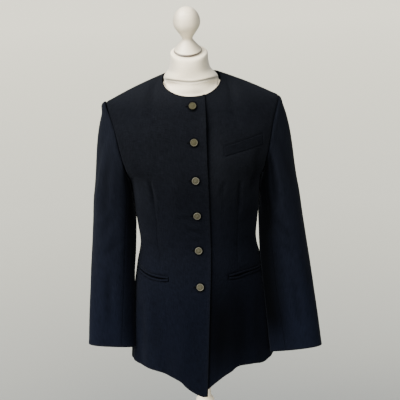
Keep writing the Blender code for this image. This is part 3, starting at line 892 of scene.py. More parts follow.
def ring_object(name: str, rings: Array) -> Item:
    """A closed body from rings of points, capped at both ends.

    Args:
        name: The object's name.
        rings: Rings by points by three.

    Returns:
        The object.
    """
    rows, columns = rings.shape[:2]
    index = np.arange(rows * columns).reshape(rows, columns)
    after = np.roll(index, -1, axis=1)
    faces = np.stack([index[:-1], after[:-1], after[1:], index[1:]], axis=-1).reshape(-1, 4)
    vertices = np.concatenate([rings.reshape(-1, 3), rings[[0, -1]].mean(axis=1)])
    low = np.full(columns, rows * columns)
    caps = [np.stack([after[0], index[0], low, low], axis=-1),
            np.stack([index[-1], after[-1], low + 1, low + 1], axis=-1)]
    radius = np.linalg.norm(rings - rings.mean(axis=1, keepdims=True), axis=-1).max()
    around = np.linspace(0.0, 2 * math.pi * radius, columns)[None, :]
    up = arc_lengths(rings, 0).mean(axis=1)[:, None]
    uv = np.stack(np.broadcast_arrays(around, up), axis=-1).reshape(-1, 2)
    return make_object(name, vertices, np.concatenate([faces, *caps]),
                       np.concatenate([uv, np.zeros((2, 2))]))


def turn_profile(name: str, profile: Array, sides: int) -> Item:
    """A turned piece that stands at the origin.

    Args:
        name: The object's name.
        profile: Radius and height of each point, from one end to the other.
        sides: Faces round it.

    Returns:
        The object.
    """
    angles = round_angles(sides)
    inner = profile[profile[:, 0] > 1e-6]
    rings = np.stack([inner[:, :1] * np.cos(angles), inner[:, :1] * np.sin(angles),
                      np.broadcast_to(inner[:, 1:], (len(inner), sides))], axis=-1)
    return ring_object(name, rings)


def dress(item: Item, slot: str, *materials: Material, replaces: str = "") -> None:
    """Give a finished piece its materials and its place in the frame, and report it.

    Args:
        item: The piece.
        slot: The record's material slot; it is not used.
        materials: Its materials, in order.
        replaces: The node that it stands for.
    """
    item.data.materials.clear()
    for material in materials:
        item.data.materials.append(material)
    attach(item, BODY)
    if replaces:
        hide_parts(replaces)
    LOG.info("%s built", item.name)


# The coat's body


@dataclass(frozen=True)
class BodyRow:
    """One level of the coat's body, with its centre front, its ends and its centre back."""

    front_y: float
    front_z: float
    front_end: Point
    back_end: Point
    back_y: float
    back_z: float
    front_turn: float
    back_turn: float
    fullness: float
    edge_x: float

    @classmethod
    def seamed(cls, front_y: float, front_z: float, side_x: float, side_z: float,
               back_y: float, back_z: float, fullness: float, edge_x: float) -> "BodyRow":
        """A level at which the front and back meet at the side seam."""
        side = (side_x, 0.0, side_z)
        return cls(front_y, front_z, side, side, back_y, back_z, 90, 90, fullness, edge_x)


BODY_ROWS = (
    BodyRow.seamed(-0.1400, 0.598, 0.1840, 0.661, 0.136, 0.652, 2.30, 0.0075),
    BodyRow.seamed(-0.1395, 0.690, 0.1790, 0.730, 0.137, 0.728, 2.30, 0.0130),
    BodyRow.seamed(-0.1375, 0.780, 0.1720, 0.800, 0.136, 0.800, 2.28, 0.0185),
    BodyRow.seamed(-0.1305, 0.860, 0.1640, 0.865, 0.130, 0.865, 2.25, 0.0235),
    BodyRow.seamed(-0.1200, 0.915, 0.1550, 0.915, 0.112, 0.915, 2.20, 0.0275),
    BodyRow.seamed(-0.1120, 0.965, 0.1445, 0.965, 0.088, 0.965, 2.15, 0.0300),
    BodyRow.seamed(-0.1145, 1.015, 0.1485, 1.013, 0.086, 1.018, 2.15, 0.0300),
    BodyRow.seamed(-0.1215, 1.070, 0.1540, 1.066, 0.094, 1.075, 2.20, 0.0295),
    BodyRow.seamed(-0.1310, 1.130, 0.1590, 1.126, 0.102, 1.135, 2.25, 0.0290),
    BodyRow(-0.1305, 1.165, (0.1665, -0.0600, 1.155), (0.1670, 0.0590, 1.160),
            0.105, 1.180, 62, 60, 2.25, 0.0290),
    BodyRow(-0.1240, 1.205, (0.1775, -0.0655, 1.203), (0.1790, 0.0675, 1.210),
            0.106, 1.230, 58, 58, 2.20, 0.0290),
    BodyRow(-0.1050, 1.264, (0.1895, -0.0500, 1.258), (0.1925, 0.0530, 1.264),
            0.095, 1.305, 56, 54, 2.10, 0.0300),
)


@dataclass(frozen=True)
class BodyPattern:
    """The coat's body as a surface over columns and levels, on the +X side."""

    rows: tuple[BodyRow, ...] = BODY_ROWS
    neck_half_width: float = 0.0700
    neck_centre_y: float = -0.012
    neck_half_depth: float = 0.054
    neck_front_z: float = 1.331
    neck_rise: float = 0.036
    neck_point_angle: float = 112.0
    back_neck_rise: float = 0.003
    tip: Point = (0.2085, 0.0, 1.3180)
    shoulder_crown: float = 0.0030
    neck_share: float = 0.42
    ridge_slope: float = 0.16
    neck_lean: float = 0.6
    underarm: int = 8
    underarm_scoop: float = 0.040
    hem_point_reach: float = 0.098
    skirt_rows: int = 3
    corner_start: float = 0.72

    @property
    def top(self) -> int:
        """The level of the top edge."""
        return len(self.rows)

    def row(self, index: int, columns: Array, back: bool) -> Array:
        """The outer surface at a pattern row.

        Args:
            index: The row.
            columns: Columns on it.
            back: True on the back.

        Returns:
            The points.
        """
        row = self.rows[index]
        centre_y, centre_z = (row.back_y, row.back_z) if back else (row.front_y, row.front_z)
        end_x, end_y, end_z = row.back_end if back else row.front_end
        turn = math.radians(row.back_turn if back else row.front_turn)
        width, depth = turned(turn * columns, row.fullness)
        full_width, full_depth = turned(turn, row.fullness)
        x = end_x * width / full_width
        y = centre_y + (end_y - centre_y) * (1 - depth) / (1 - full_depth)
        if index < self.skirt_rows and not back:
            rise = np.minimum(np.abs(x) / self.hem_point_reach, 1.0)
        else:
            rise = columns * columns
        return np.stack([x, y, centre_z + (end_z - centre_z) * rise], axis=-1)

    def neckline(self, angles: Array) -> Array:
        """Points of the neckline.

        Args:
            angles: Degrees round from the centre front.

        Returns:
            The points.
        """
        turn = np.radians(np.minimum(angles, self.neck_point_angle))
        z = self.neck_front_z + self.neck_rise * (1 - np.cos(turn))
        share = (angles - self.neck_point_angle) / (180 - self.neck_point_angle)
        z = z + self.back_neck_rise * np.sin(np.clip(share, 0.0, 1.0) * math.pi / 2)
        around = np.radians(angles)
        return np.stack([self.neck_half_width * np.sin(around),
                         self.neck_centre_y - self.neck_half_depth * np.cos(around), z],
                        axis=-1)

    def top_edge(self, columns: Array, back: bool) -> Array:
        """The top edge: the neckline, then the shoulder seam.

        Args:
            columns: Columns on it.
            back: True on the back.

        Returns:
            The points.
        """
        share = np.minimum(columns, self.neck_share) / self.neck_share
        if back:
            angles = 180 - (180 - self.neck_point_angle) * share
        else:
            angles = self.neck_point_angle * share
        neck = self.neckline(angles)
        out = np.clip((columns - self.neck_share) / (1 - self.neck_share), 0.0, 1.0)
        corner = self.neckline(np.array([self.neck_point_angle]))[0]
        seam = corner + (np.array(self.tip) - corner) * out[:, None]
        seam[:, 2] += self.shoulder_crown * np.sin(math.pi * out)
        return np.where((columns <= self.neck_share)[:, None], neck, seam)

    def edge(self, index: int, columns: Array, back: bool) -> Array:
        """A pattern row, or the top edge past the last one.

        Args:
            index: The row.
            columns: Columns on it.
            back: True on the back.

        Returns:
            The points.
        """
        if index == self.top:
            return self.top_edge(columns, back)
        return self.row(index, columns, back)

    def arrival(self, columns: Array, back: bool, natural: Array) -> Array:
        """The directions in which columns meet the top edge.

        Args:
            columns: The columns.
            back: True on the back.
            natural: The directions in which they come.

        Returns:
            The directions, leaning away from the neck and across the shoulder seam.
        """
        step = 0.01
        near = self.top_edge(np.array([self.neck_share - step, self.neck_share,
                                       self.neck_share + step]), back)
        along_neck, along_shoulder = unit(near[1] - near[0]), unit(near[2] - near[1])
        at_corner = unit(along_neck * self.neck_lean
                         - along_shoulder * (1 - self.neck_lean))
        across = np.array([0.0, -1.0 if back else 1.0, self.ridge_slope])
        lean = smoothstep(0.45 * self.neck_share, self.neck_share, columns)[:, None]
        cross = smoothstep(self.neck_share, 1.5 * self.neck_share, columns)[:, None]
        direction = unit(natural) * (1 - lean) + at_corner * lean
        return direction * (1 - cross) + across * cross

    def points(self, columns: Array, level: float, back: bool = False,
               cornered: bool = True) -> Array:
        """The outer surface at a level.

        Args:
            columns: Columns there.
            level: The level, between two pattern rows.
            back: True on the back.
            cornered: True where the columns turn the corner at the underarm.

        Returns:
            The points.
        """
        index = min(int(level), self.top - 1)
        start, end = self.edge(index, columns, back), self.edge(index + 1, columns, back)
        leave, arrive = end - start, end - start
        if index > 0:
            leave = end - self.edge(index - 1, columns, back)
        if index + 1 < self.top:
            arrive = self.edge(index + 2, columns, back) - start
        chord = np.linalg.norm(end - start, axis=-1, keepdims=True)
        leave, arrive = unit(leave) * chord, unit(arrive) * chord
        corner = smoothstep(self.corner_start, 1.0, columns)[:, None] if cornered else 0.0
        if index == self.underarm:
            run = np.array([0.0, self.underarm_scoop if back else -self.underarm_scoop, 0.0])
            leave = leave * (1 - corner) + run * corner
            return cubic(start, leave, end, arrive, level - index)
        if index + 1 == self.underarm:
            arrive = arrive * (1 - corner) + (end - start) * corner
        if index + 1 == self.top:
            arrive = self.arrival(columns, back, arrive)
        return hermite(start, leave, end, arrive, level - index)

    def normals(self, columns: Array, level: float, back: bool = False) -> Array:
        """Outward directions of the surface at a level.

        Args:
            columns: Columns there.
            level: The level.
            back: True on the back.

        Returns:
            The directions.
        """
        step = 0.01
        low, high = np.maximum(columns - step, -1.0), np.minimum(columns + step, 1.0)
        below, above = max(level - step, 0.0), min(level + step, float(self.top))
        across = self.points(high, level, back, False) - self.points(low, level, back, False)
        up = self.points(columns, above, back, False) - self.points(columns, below, back,
                                                                    False)
        return unit(np.cross(across, up) if not back else np.cross(up, across))

    def edge_distance(self, level: float | Array) -> float | Array:
        """How far the right front's free edge passes the centre at a level."""
        return np.interp(level, range(len(self.rows)), [row.edge_x for row in self.rows])

    def column_at(self, level: float, distance: float) -> float:
        """The column that lies a distance from the centre front.

        Args:
            level: The level.
            distance: The distance along X.

        Returns:
            The column.
        """
        shares = []
        index = min(int(level), self.top - 1)
        for i in (index, index + 1):
            if i == self.top:
                angle = math.degrees(math.asin(min(distance / self.neck_half_width, 1.0)))
                shares.append(angle / self.neck_point_angle * self.neck_share)
                continue
            row = self.rows[i]
            turn = math.radians(row.front_turn)
            reach = (distance / row.front_end[0]) ** (row.fullness / 2) * math.sin(turn)
            shares.append(math.asin(min(reach, 1.0)) / turn)
        share = level - index
        return shares[0] * (1 - share) + shares[1] * share

    def levels(self, step: float) -> Array:
        """Levels evenly along the cloth, finer at the hem and the top.

        Args:
            step: The distance between them along the cloth.

        Returns:
            The levels, one of them at the underarm.
        """
        coarse = np.linspace(0.0, self.top, self.top * 10 + 1)
        middle = np.array([0.5])
        run = run_along(np.array([self.points(middle, level)[0] for level in coarse]))
        found = np.interp(edged(run[-1], step) * run[-1], run, coarse)
        found[np.argmin(np.abs(found - self.underarm))] = self.underarm
        found[0], found[-1] = 0.0, self.top
        return found


@dataclass
class CoatBody:
    """The fronts and backs: their relief, seams, hems and free edges."""

    pattern: BodyPattern = field(default_factory=BodyPattern)
    cloth: float = CLOTH
    lap_gap: float = 0.0006
    lap_start: float = 0.036
    lap_end: float = 0.078
    lap_heights: Numbers = (0.60, 0.95, 1.10, 1.15, 1.20, 1.262, 1.300, 1.325)
    lap_stands: Numbers = (0.0010, 0.0005, 0.0009, 0.0015, 0.0024, 0.0034, 0.0018, 0.0)
    lap_sinks: Numbers = (0.0006, 0.0002, 0.0008, 0.0014, 0.0022, 0.0028, 0.0010, 0.0)
    lap_shade_heights: Numbers = (0.60, 0.95, 1.10, 1.20, 1.26, 1.30, 1.325)
    lap_shade_widths: Numbers = (0.0026, 0.0028, 0.0036, 0.0056, 0.0064, 0.0040, 0.0018)
    left_hem_lift: float = 0.19
    button_heights: Numbers = BUTTON_Z
    neck_easing: int = 24
    # Shares of painted shade in darts, creases, pocket mouths, beside the jets and along the neck
    # edge.
    dart_dark: float = 0.12
    crease_dark: float = 0.22
    back_crease_dark: float = 0.3
    mouth_depth: float = 0.0055
    mouth_width: float = 0.0036
    mouth_dark: float = 0.9
    bed_half_height: float = 0.0062
    bed_depth: float = 0.0016
    neck_line_dark: float = 0.9
    row_step: float = 0.0031
    back_row_step: float = 0.0038
    to_dart: Array = kept(edged(0.135, 0.0033))
    to_side: Array = kept(edged(0.125, 0.0030))
    to_neck: Array = kept(edged(0.080, 0.0036))
    to_back_side: Array = kept(edged(0.120, 0.0036))
    panels: dict[str, Item] = field(default_factory=dict)
    cuts: dict[str, Point] = kept({
        "front_right": (0.36, 0.83, 0.190), "front_left": (0.36, 0.81, 0.187),
        "back_right": (0.25, 0.80, 0.158), "back_left": (0.25, 0.80, 0.158)})
    darts: dict[Side, tuple[SeamLine, ...]] = kept({
        Side.RIGHT: (
            SeamLine(((0.0940, 0.912), (0.0940, 0.939), (0.0989, 0.993), (0.0987, 1.043),
                      (0.1068, 1.134)), 0.0013, 0.0009, 0.0009, 0.030),
            SeamLine(((0.0830, 0.740), (0.0832, 0.767), (0.0868, 0.864), (0.0900, 0.888)),
                     0.0018, 0.0007, 0.0006, 0.040),
        ),
        Side.LEFT: (
            SeamLine(((0.0935, 0.912), (0.0944, 0.961), (0.0974, 1.012), (0.1012, 1.109),
                      (0.1052, 1.140)), 0.0013, 0.0009, 0.0009, 0.030),
            SeamLine(((0.0560, 0.970), (0.0568, 0.988), (0.0640, 1.080), (0.0670, 1.132)),
                     0.0030, 0.0005, 0.0006, 0.050),
        ),
    })
    creases: dict[Side, tuple[Crease, ...]] = kept({
        Side.RIGHT: (
            Crease((0.178, 1.188), (0.137, 1.130), 0.0080, 0.0012, -0.004, 0.15),
            Crease((0.160, 1.236), (0.137, 1.168), 0.0110, -0.0007, 0.004),
            Crease((0.1092, 1.148), (0.0985, 1.052), 0.0046, 0.0030, 0.001, 0.2, 0.15, 0.6),
            Crease((0.150, 1.215), (0.128, 1.110), 0.0130, 0.0007, 0.005),
            Crease((0.146, 1.075), (0.090, 1.000), 0.0130, 0.0012, 0.004),
            Crease((0.140, 0.985), (0.062, 0.962), 0.0110, 0.0014, -0.003),
            Crease((0.130, 0.955), (0.072, 0.938), 0.0090, 0.0009, 0.002),
            Crease((0.045, 1.180), (0.062, 0.985), 0.0160, -0.0011, 0.003),
            Crease((0.112, 0.882), (0.118, 0.705), 0.0150, 0.0018, 0.004, tail=0.2),
            Crease((0.150, 0.870), (0.140, 0.700), 0.0120, 0.0012, -0.003, tail=0.2),
            Crease((0.040, 0.840), (0.058, 0.640), 0.0150, -0.0012, 0.003, tail=0.2),
            Crease((0.030, 1.021), (-0.022, 1.004), 0.0060, 0.0016, 0.001, 0.3),
            Crease((0.054, 1.052), (0.014, 1.046), 0.0050, 0.0009, -0.001, 0.3),
            Crease((0.036, 0.975), (0.010, 0.968), 0.0040, 0.0011, 0.0, 0.3),
            Crease((0.0905, 1.088), (0.0885, 1.052), 0.0030, 0.0011, 0.0, 0.3),
        ),
        Side.LEFT: (
            Crease((0.166, 1.226), (0.136, 1.090), 0.0110, 0.0034, 0.006, 0.15),
            Crease((0.150, 1.190), (0.120, 1.084), 0.0080, 0.0020, -0.004, 0.15),
            Crease((0.178, 1.196), (0.146, 1.124), 0.0080, 0.0012, 0.003, 0.10),
            Crease((0.150, 1.080), (0.094, 1.006), 0.0120, 0.0014, -0.004),
            Crease((0.1040, 1.138), (0.0988, 1.042), 0.0044, 0.0032, -0.0005, 0.2, 0.2, 0.5),
            Crease((0.0720, 1.142), (0.0560, 1.090), 0.0060, 0.0017, 0.002, 0.2),
            Crease((0.1230, 1.185), (0.1350, 1.105), 0.0060, 0.0011, 0.002, 0.2),
            Crease((0.138, 0.982), (0.070, 0.968), 0.0130, 0.0005, 0.003),
            Crease((0.052, 1.150), (0.060, 0.960), 0.0150, -0.0010, -0.003),
            Crease((0.092, 0.912), (0.132, 0.914), 0.0040, 0.0010, -0.001),
            Crease((0.060, 0.860), (0.046, 0.640), 0.0190, 0.0012, 0.004, tail=0.2),
            Crease((0.098, 0.870), (0.104, 0.690), 0.0170, 0.0011, -0.005, tail=0.2),
            Crease((0.146, 0.860), (0.134, 0.700), 0.0110, 0.0014, 0.003, tail=0.2),
        ),
    })
    back_creases: dict[Side, tuple[Crease, ...]] = kept({
        Side.RIGHT: (
            Crease((0.170, 1.200), (0.118, 1.110), 0.0110, 0.0026, 0.005),
            Crease((0.140, 1.245), (0.110, 1.120), 0.0120, 0.0014, -0.004),
            Crease((0.138, 1.000), (0.030, 0.972), 0.0110, 0.0018, 0.004),
            Crease((0.120, 0.972), (0.046, 0.956), 0.0090, 0.0012, -0.002),
            Crease((0.060, 0.860), (0.072, 0.680), 0.0160, 0.0020, 0.004, tail=0.2),
            Crease((0.128, 0.860), (0.122, 0.700), 0.0130, 0.0016, -0.004, tail=0.2),
        ),
        Side.LEFT: (
            Crease((0.172, 1.205), (0.124, 1.098), 0.0120, 0.0030, -0.004),
            Crease((0.130, 1.230), (0.104, 1.130), 0.0110, 0.0012, 0.004),
            Crease((0.132, 0.992), (0.040, 0.980), 0.0120, 0.0016, -0.003),
            Crease((0.080, 1.060), (0.034, 0.990), 0.0140, 0.0010, 0.003),
            Crease((0.048, 0.850), (0.056, 0.690), 0.0150, 0.0018, -0.003, tail=0.2),
            Crease((0.112, 0.870), (0.124, 0.700), 0.0140, 0.0020, 0.005, tail=0.2),
        ),
    })
    flutes: dict[tuple[Face, Side], tuple[Flute, ...]] = kept({
        (Face.FRONT, Side.RIGHT): (Flute(0.30, 0.10, 0.0030, 3.6),
                                   Flute(0.63, 0.13, 0.0042, 4.2),
                                   Flute(0.86, 0.08, 0.0024, 3.0)),
        (Face.FRONT, Side.LEFT): (Flute(0.33, 0.16, 0.0036, 4.0),
                                  Flute(0.62, 0.12, 0.0022, 3.4),
                                  Flute(0.84, 0.12, 0.0024, 3.6)),
        (Face.BACK, Side.RIGHT): (Flute(0.35, 0.16, 0.0050, 4.2),
                                  Flute(0.74, 0.12, 0.0036, 3.8)),
        (Face.BACK, Side.LEFT): (Flute(0.28, 0.13, 0.0040, 3.8),
                                 Flute(0.66, 0.15, 0.0048, 4.2)),
    })
    mouths: dict[Side, Lines] = kept({
        Side.RIGHT: ((0.0760, 0.8990), (0.0950, 0.8985), (0.1150, 0.8995),
                     (0.1350, 0.9040), (0.1500, 0.9090)),
        Side.LEFT: ((0.0700, 0.8985), (0.0920, 0.8990), (0.1120, 0.9010),
                    (0.1330, 0.9005), (0.1510, 0.8985)),
    })
    gapes: dict[Side, Numbers] = kept({
        Side.RIGHT: (0.0012, 0.0042, 0.0046, 0.0044, 0.0034),
        Side.LEFT: (0.0012, 0.0048, 0.0034, 0.0022, 0.0018),
    })
    jet_line_darks: dict[Side, Place] = kept({Side.RIGHT: (0.35, 0.9),
                                              Side.LEFT: (0.35, 0.5)})
    jet_height: float = 0.0048
    welt_lower: Lines = ((0.0705, 1.1955), (0.1155, 1.2042), (0.1605, 1.2130))
    welt_upper: Lines = ((0.0690, 1.2165), (0.1145, 1.2268), (0.1600, 1.2370))
    hems: dict[Side, Lines] = kept({
        Side.RIGHT: ((-0.0080, 0.6000), (0.0048, 0.5990), (0.0168, 0.6045),
                     (0.0312, 0.6135), (0.0454, 0.6255), (0.0570, 0.6385),
                     (0.0714, 0.6470), (0.0860, 0.6530), (0.1006, 0.6590),
                     (0.1129, 0.6622), (0.1281, 0.6636), (0.1408, 0.6652),
                     (0.1543, 0.6652), (0.1648, 0.6664), (0.1744, 0.6668),
                     (0.1840, 0.6615)),
        Side.LEFT: ((0.0000, 0.6095), (0.0085, 0.6165), (0.0246, 0.6303),
                    (0.0392, 0.6410), (0.0538, 0.6515), (0.0709, 0.6618),
                    (0.0791, 0.6680), (0.0885, 0.6712), (0.1019, 0.6705),
                    (0.1144, 0.6698), (0.1292, 0.6688), (0.1475, 0.6636),
                    (0.1579, 0.6630), (0.1666, 0.6660), (0.1767, 0.6650),
                    (0.1840, 0.6615)),
    })

    def ease_neck(self, sheet: Sheeting, columns: Array, levels: Array) -> None:
        """Even out a panel where it runs into the neck, keeping its edges.

        Args:
            sheet: The panel.
            columns: The grid's columns.
            levels: The grid's levels.
        """
        top = self.pattern.top
        mask = (smoothstep(top - 1.5, top - 0.9, levels) * (levels < top)
                * band((0.05, 0.2), (0.65, 0.85), columns))
        for grid in (sheet.points, sheet.normals):
            for _ in range(self.neck_easing):
                inner = (grid[:-2, 1:-1] + grid[2:, 1:-1] + grid[1:-1, :-2]
                         + grid[1:-1, 2:]) / 4 - grid[1:-1, 1:-1]
                grid[1:-1, 1:-1] += inner * mask[1:-1, 1:-1, None] * 0.8
        sheet.normals = unit(sheet.normals)

    def shape_hem(self, side: Side, sheet: Sheeting, levels: Array) -> None:
        """Bring a front's hem to its own line, fading up the skirt.

        Args:
            side: The wearer's side.
            sheet: The front.
            levels: The grid's levels.
        """
        line = smooth_line(self.hems[side], 0.002)
        want = np.interp(sheet.points[0, :, 0], line[:, 0], line[:, 1])
        drop = want - sheet.points[0, :, 2]
        sheet.points[..., 2] += drop[None, :] * (1 - smoothstep(0.0, 1.7, levels))

    def dart_column(self, side: Side, level: float) -> float:
        """The column where a front's grid is crowded: its dart, then the neck point.

        Args:
            side: The wearer's side.
            level: The level.

        Returns:
            The column.
        """
        pattern = self.pattern
        waist, middle, bust = 3.0, 5.0, 8.0
        line = self.darts[side][0].places
        if level <= waist:
            return pattern.column_at(level, line[0][0] - 0.004)
        at = np.interp(level, (waist, middle, bust), (line[0][0], line[2][0], line[-1][0]))
        rise = float(smoothstep(bust, pattern.top - 0.5, level))
        return (pattern.column_at(min(level, bust), float(at)) * (1 - rise)
                + pattern.neck_share * rise)

    def lift(self, side: Side, away: Array, up: Array) -> Array:
        """How far the lapped edges stand apart, outwards from the cloth.

        Args:
            side: The wearer's side.
            away: Distances from the panel's own front edge.
            up: Heights.

        Returns:
            Distances outwards, negative where the cloth lies deeper.
        """
        if side is Side.LEFT:
            return -np.interp(up, self.lap_heights, self.lap_sinks) * hump(away - 0.062, 0.018)
        wave = 1 + 0.25 * np.cos(2 * math.pi * (up - 1.262) / 0.087)
        return np.interp(up, self.lap_heights, self.lap_stands) * wave * hump(away, 0.016)

    def lap_under(self, sheet: Sheeting, levels: Array) -> None:
        """Set the left front back behind the right one, with a painted shadow beside the right
        front's edge, painted shade in the skirt and painted light on the chest.

        Args:
            sheet: The left front.
            levels: The grid's levels.
        """
        across, up = sheet.points[..., 0], sheet.points[..., 2]
        under = 1 - smoothstep(self.lap_start, self.lap_end, across)
        sheet.down += (self.cloth + self.lap_gap) * under
        width = np.interp(up, self.lap_shade_heights, self.lap_shade_widths)
        past = np.maximum(across - self.pattern.edge_distance(levels), 0.0)
        skirt = band((0.600, 0.745), (0.80, 1.02), up)
        # Painted shadow beside the right front's edge, and painted shade on the skirt.
        sheet.shade += (0.75 * hump(past, width)
                        + 0.80 * skirt * (1 - 0.60 * smoothstep(0.07, 0.15, across)))
        # Painted light on the chest, carried by the wear value.
        sheet.wear += 0.50 * band((1.04, 1.13), (1.19, 1.28), up)

    def lap_over(self, sheet: Sheeting) -> None:
        """Paint shade on the right front: shadows round its buttons, shade in their holes and near
        its armhole.

        Args:
            sheet: The right front.
        """
        across, up = sheet.points[..., 0], sheet.points[..., 2]
        # Painted shadow under each button, and painted shade in its buttonhole.
        shade = np.zeros_like(across)
        for z in self.button_heights:
            away = np.hypot(across + 0.0005, up - z + 0.0006)
            ring = 0.95 * (1 - smoothstep(0.0100, 0.0138, away))
            hole = (hump(up - z, 0.0015) * (across > 0)
                    * (1 - smoothstep(0.0150, 0.0175, across)))
            shade = np.maximum(shade, np.maximum(ring, hole))
        # Painted shade on the side strip below the armhole.
        armhole = smoothstep(0.1465, 0.1560, across) * band((0.990, 1.030), (1.130, 1.160), up)
        sheet.shade += shade + 0.9 * armhole

    def sink_pockets(self, side: Side, sheet: Sheeting) -> None:
        """Press the hip pocket's mouth in with painted shade in it, paint shade lines beside the
        jets, and sink beds for the jets and the welt.

        Args:
            side: The wearer's side.
            sheet: The front.
        """
        across, up = sheet.points[..., 0], sheet.points[..., 2]
        x, z = np.array(self.mouths[side]).T
        off = up - np.interp(across, x, z)
        inside = band((x[0] - 0.002, x[0] + 0.008), (x[-1] - 0.004, x[-1] + 0.004), across)
        sheet.press(self.mouth_depth * hump(off, self.mouth_width) * inside, self.mouth_dark)
        # Painted shade lines just outside the jets.
        far = np.interp(across, x, self.gapes[side]) / 2 + self.jet_height + 0.0012
        for sign, dark in zip((1, -1), self.jet_line_darks[side]):
            sheet.shade += dark * hump(off * sign - far, 0.0015) * inside
        half = self.bed_half_height
        beds = [[tuple(zip(x, z - half)), tuple(zip(x, z + half))]]
        if side is Side.LEFT:
            beds.append([self.welt_lower, self.welt_upper])
        for lower, upper in beds:
            sheet.down += Bed(lower, upper, self.bed_depth).push(across, up)

    def finish_edges(self, sheet: Sheeting, columns: Array) -> None:
        """Roll the hem and the neck edge, and sew the shoulder and the side.

        Args:
            sheet: The panel.
            columns: The grid's columns.
        """
        share = self.pattern.neck_share
        neck = 1 - smoothstep(share - 0.01, share + 0.01, columns)
        sheet.round_edge(Edge.FIRST_ROW, turning=0.0004)
        sheet.round_edge(Edge.LAST_ROW, neck, 0.0004, 0.1)
        # Painted shade along the neck edge.
        line = hump(sheet.distance(Edge.LAST_ROW), 0.0018) * neck
        sheet.shade += self.neck_line_dark * line
        sheet.sew_edge(Edge.LAST_ROW, 1 - neck)
        sheet.sew_edge(Edge.LAST_COLUMN, depth=0.0013)

    def front_grid(self, side: Side) -> tuple[Sheeting, Array, Array]:
        """A front's bare cloth on the +X side.

        Args:
            side: The wearer's side.

        Returns:
            The sheeting, with the columns and the levels of its grid.
        """
        pattern, rows = self.pattern, []
        for level in pattern.levels(self.row_step):
            middle = self.dart_column(side, level)
            start = -pattern.column_at(level, pattern.edge_distance(level))
            columns = np.concatenate([graded(start, middle, self.to_dart)[:-1],
                                      graded(middle, 1.0, self.to_side)])
            reach = np.full(columns.shape, float(level))
            row = pattern.points(columns, level)
            if side is Side.LEFT and level < 1:
                lift = self.left_hem_lift * (1 - level)
                reach += lift * (1 - smoothstep(0.1, 0.7, columns))
                row = np.array([pattern.points(columns[i:i + 1], at)[0]
                                for i, at in enumerate(reach)])
            rows.append((row, pattern.normals(columns, level), columns, reach))
        points, normals, columns, levels = (np.array(kind) for kind in zip(*rows))
        return Sheeting(points, normals, self.cloth), columns, levels

    def front(self, side: Side) -> Sheeting:
        """A front as sheeting on the +X side.

        Args:
            side: The wearer's side.

        Returns:
            The sheeting.
        """
        sheet, columns, levels = self.front_grid(side)
        self.shape_hem(side, sheet, levels)
        self.ease_neck(sheet, columns, levels)
        across, up = sheet.points[..., 0], sheet.points[..., 2]
        for flute in self.flutes[(Face.FRONT, side)]:
            sheet.down += flute.push(columns, levels)
        for dart in self.darts[side]:
            sheet.press(dart.push(across, up), self.dart_dark)
        for crease in self.creases[side]:
            sheet.press(crease.push(across, up), self.crease_dark)
        self.sink_pockets(side, sheet)
        sheet.down -= self.lift(side, sheet.distance(Edge.FIRST_COLUMN), up)
        if side is Side.LEFT:
            self.lap_under(sheet, levels)
        else:
            self.lap_over(sheet)
        # Painted light on the shoulders, carried by the wear value.
        sheet.wear += 0.95 * smoothstep(1.290, 1.350, up)
        self.finish_edges(sheet, columns)
        sheet.round_edge(Edge.FIRST_COLUMN, turning=0.0005)
        return sheet

    def back(self, side: Side) -> Sheeting:
        """A back as sheeting on the +X side.

        Args:
            side: The wearer's side.

        Returns:
            The sheeting.
        """
        pattern = self.pattern
        columns = np.concatenate([graded(0.0, pattern.neck_share, self.to_neck)[:-1],
                                  graded(pattern.neck_share, 1.0, self.to_back_side)])
        levels = pattern.levels(self.back_row_step)
        points = np.array([pattern.points(columns, level, True) for level in levels])
        normals = np.array([pattern.normals(columns, level, True) for level in levels])
        sheet = Sheeting(points, normals, self.cloth)
        columns, levels = np.broadcast_arrays(columns, levels[:, None])
        for flute in self.flutes[(Face.BACK, side)]:
            sheet.down += flute.push(columns, levels)
        for crease in self.back_creases[side]:
            sheet.press(crease.push(points[..., 0], points[..., 2]), self.back_crease_dark)
        self.finish_edges(sheet, columns)
        sheet.sew_edge(Edge.FIRST_COLUMN)
        if side is Side.LEFT:
            # Painted shade on the left back near the side seam, low down.
            near = hump(sheet.distance(Edge.LAST_COLUMN), 0.02)
            sheet.shade += 0.9 * near * (1 - smoothstep(0.98, 1.04, points[..., 2]))
        return sheet

    def build(self, wool: Material) -> None:
        """Build and dress the four panels.

        Args:
            wool: The body's cloth.
        """
        for side in Side:
            for face, make in ((Face.FRONT, self.front), (Face.BACK, self.back)):
                name = f"{face.value}_{side.word}"
                item = make(side).build(f"{name}_cloth", side)
                dress(item, "wool", wool, replaces=name)
                self.panels[name] = item


@dataclass
class PanelProbe:
    """Finds places on a finished front by looking at it along +Y."""

    panel: Item
    tree: BVHTree = field(init=False)

    def __post_init__(self) -> None:
        """Make the search tree of the panel."""
        mesh = self.panel.data
        corners = [vertex.co for vertex in mesh.vertices]
        self.tree = BVHTree.FromPolygons(corners, [face.vertices for face in mesh.polygons])

    def at(self, x: float, z: float) -> tuple[Vector, Vector]:
        """The outer surface in front of a place.

        Args:
            x: The place's X.
            z: The place's Z.

        Returns:
            The point and the outward direction there.
        """
        point, normal, _, _ = self.tree.ray_cast(Vector((x, -0.6, z)), Vector((0, 1, 0)))
        return point, normal

    def steady(self, x: float, z: float, reach: float = 0.004) -> tuple[Vector, Vector]:
        """The outer surface at a place, with its direction evened out.

        Args:
            x: The place's X.
            z: The place's Z.
            reach: How far round the place the direction is taken from.

        Returns:
            The point and the outward direction there.
        """
        point, _ = self.at(x, z)
        total = Vector()
        for dx, dz in ((0, 0), (reach, 0), (-reach, 0), (0, reach), (0, -reach)):
            total += self.at(x + dx, z + dz)[1]
        return point, total.normalized()


# Sleeves


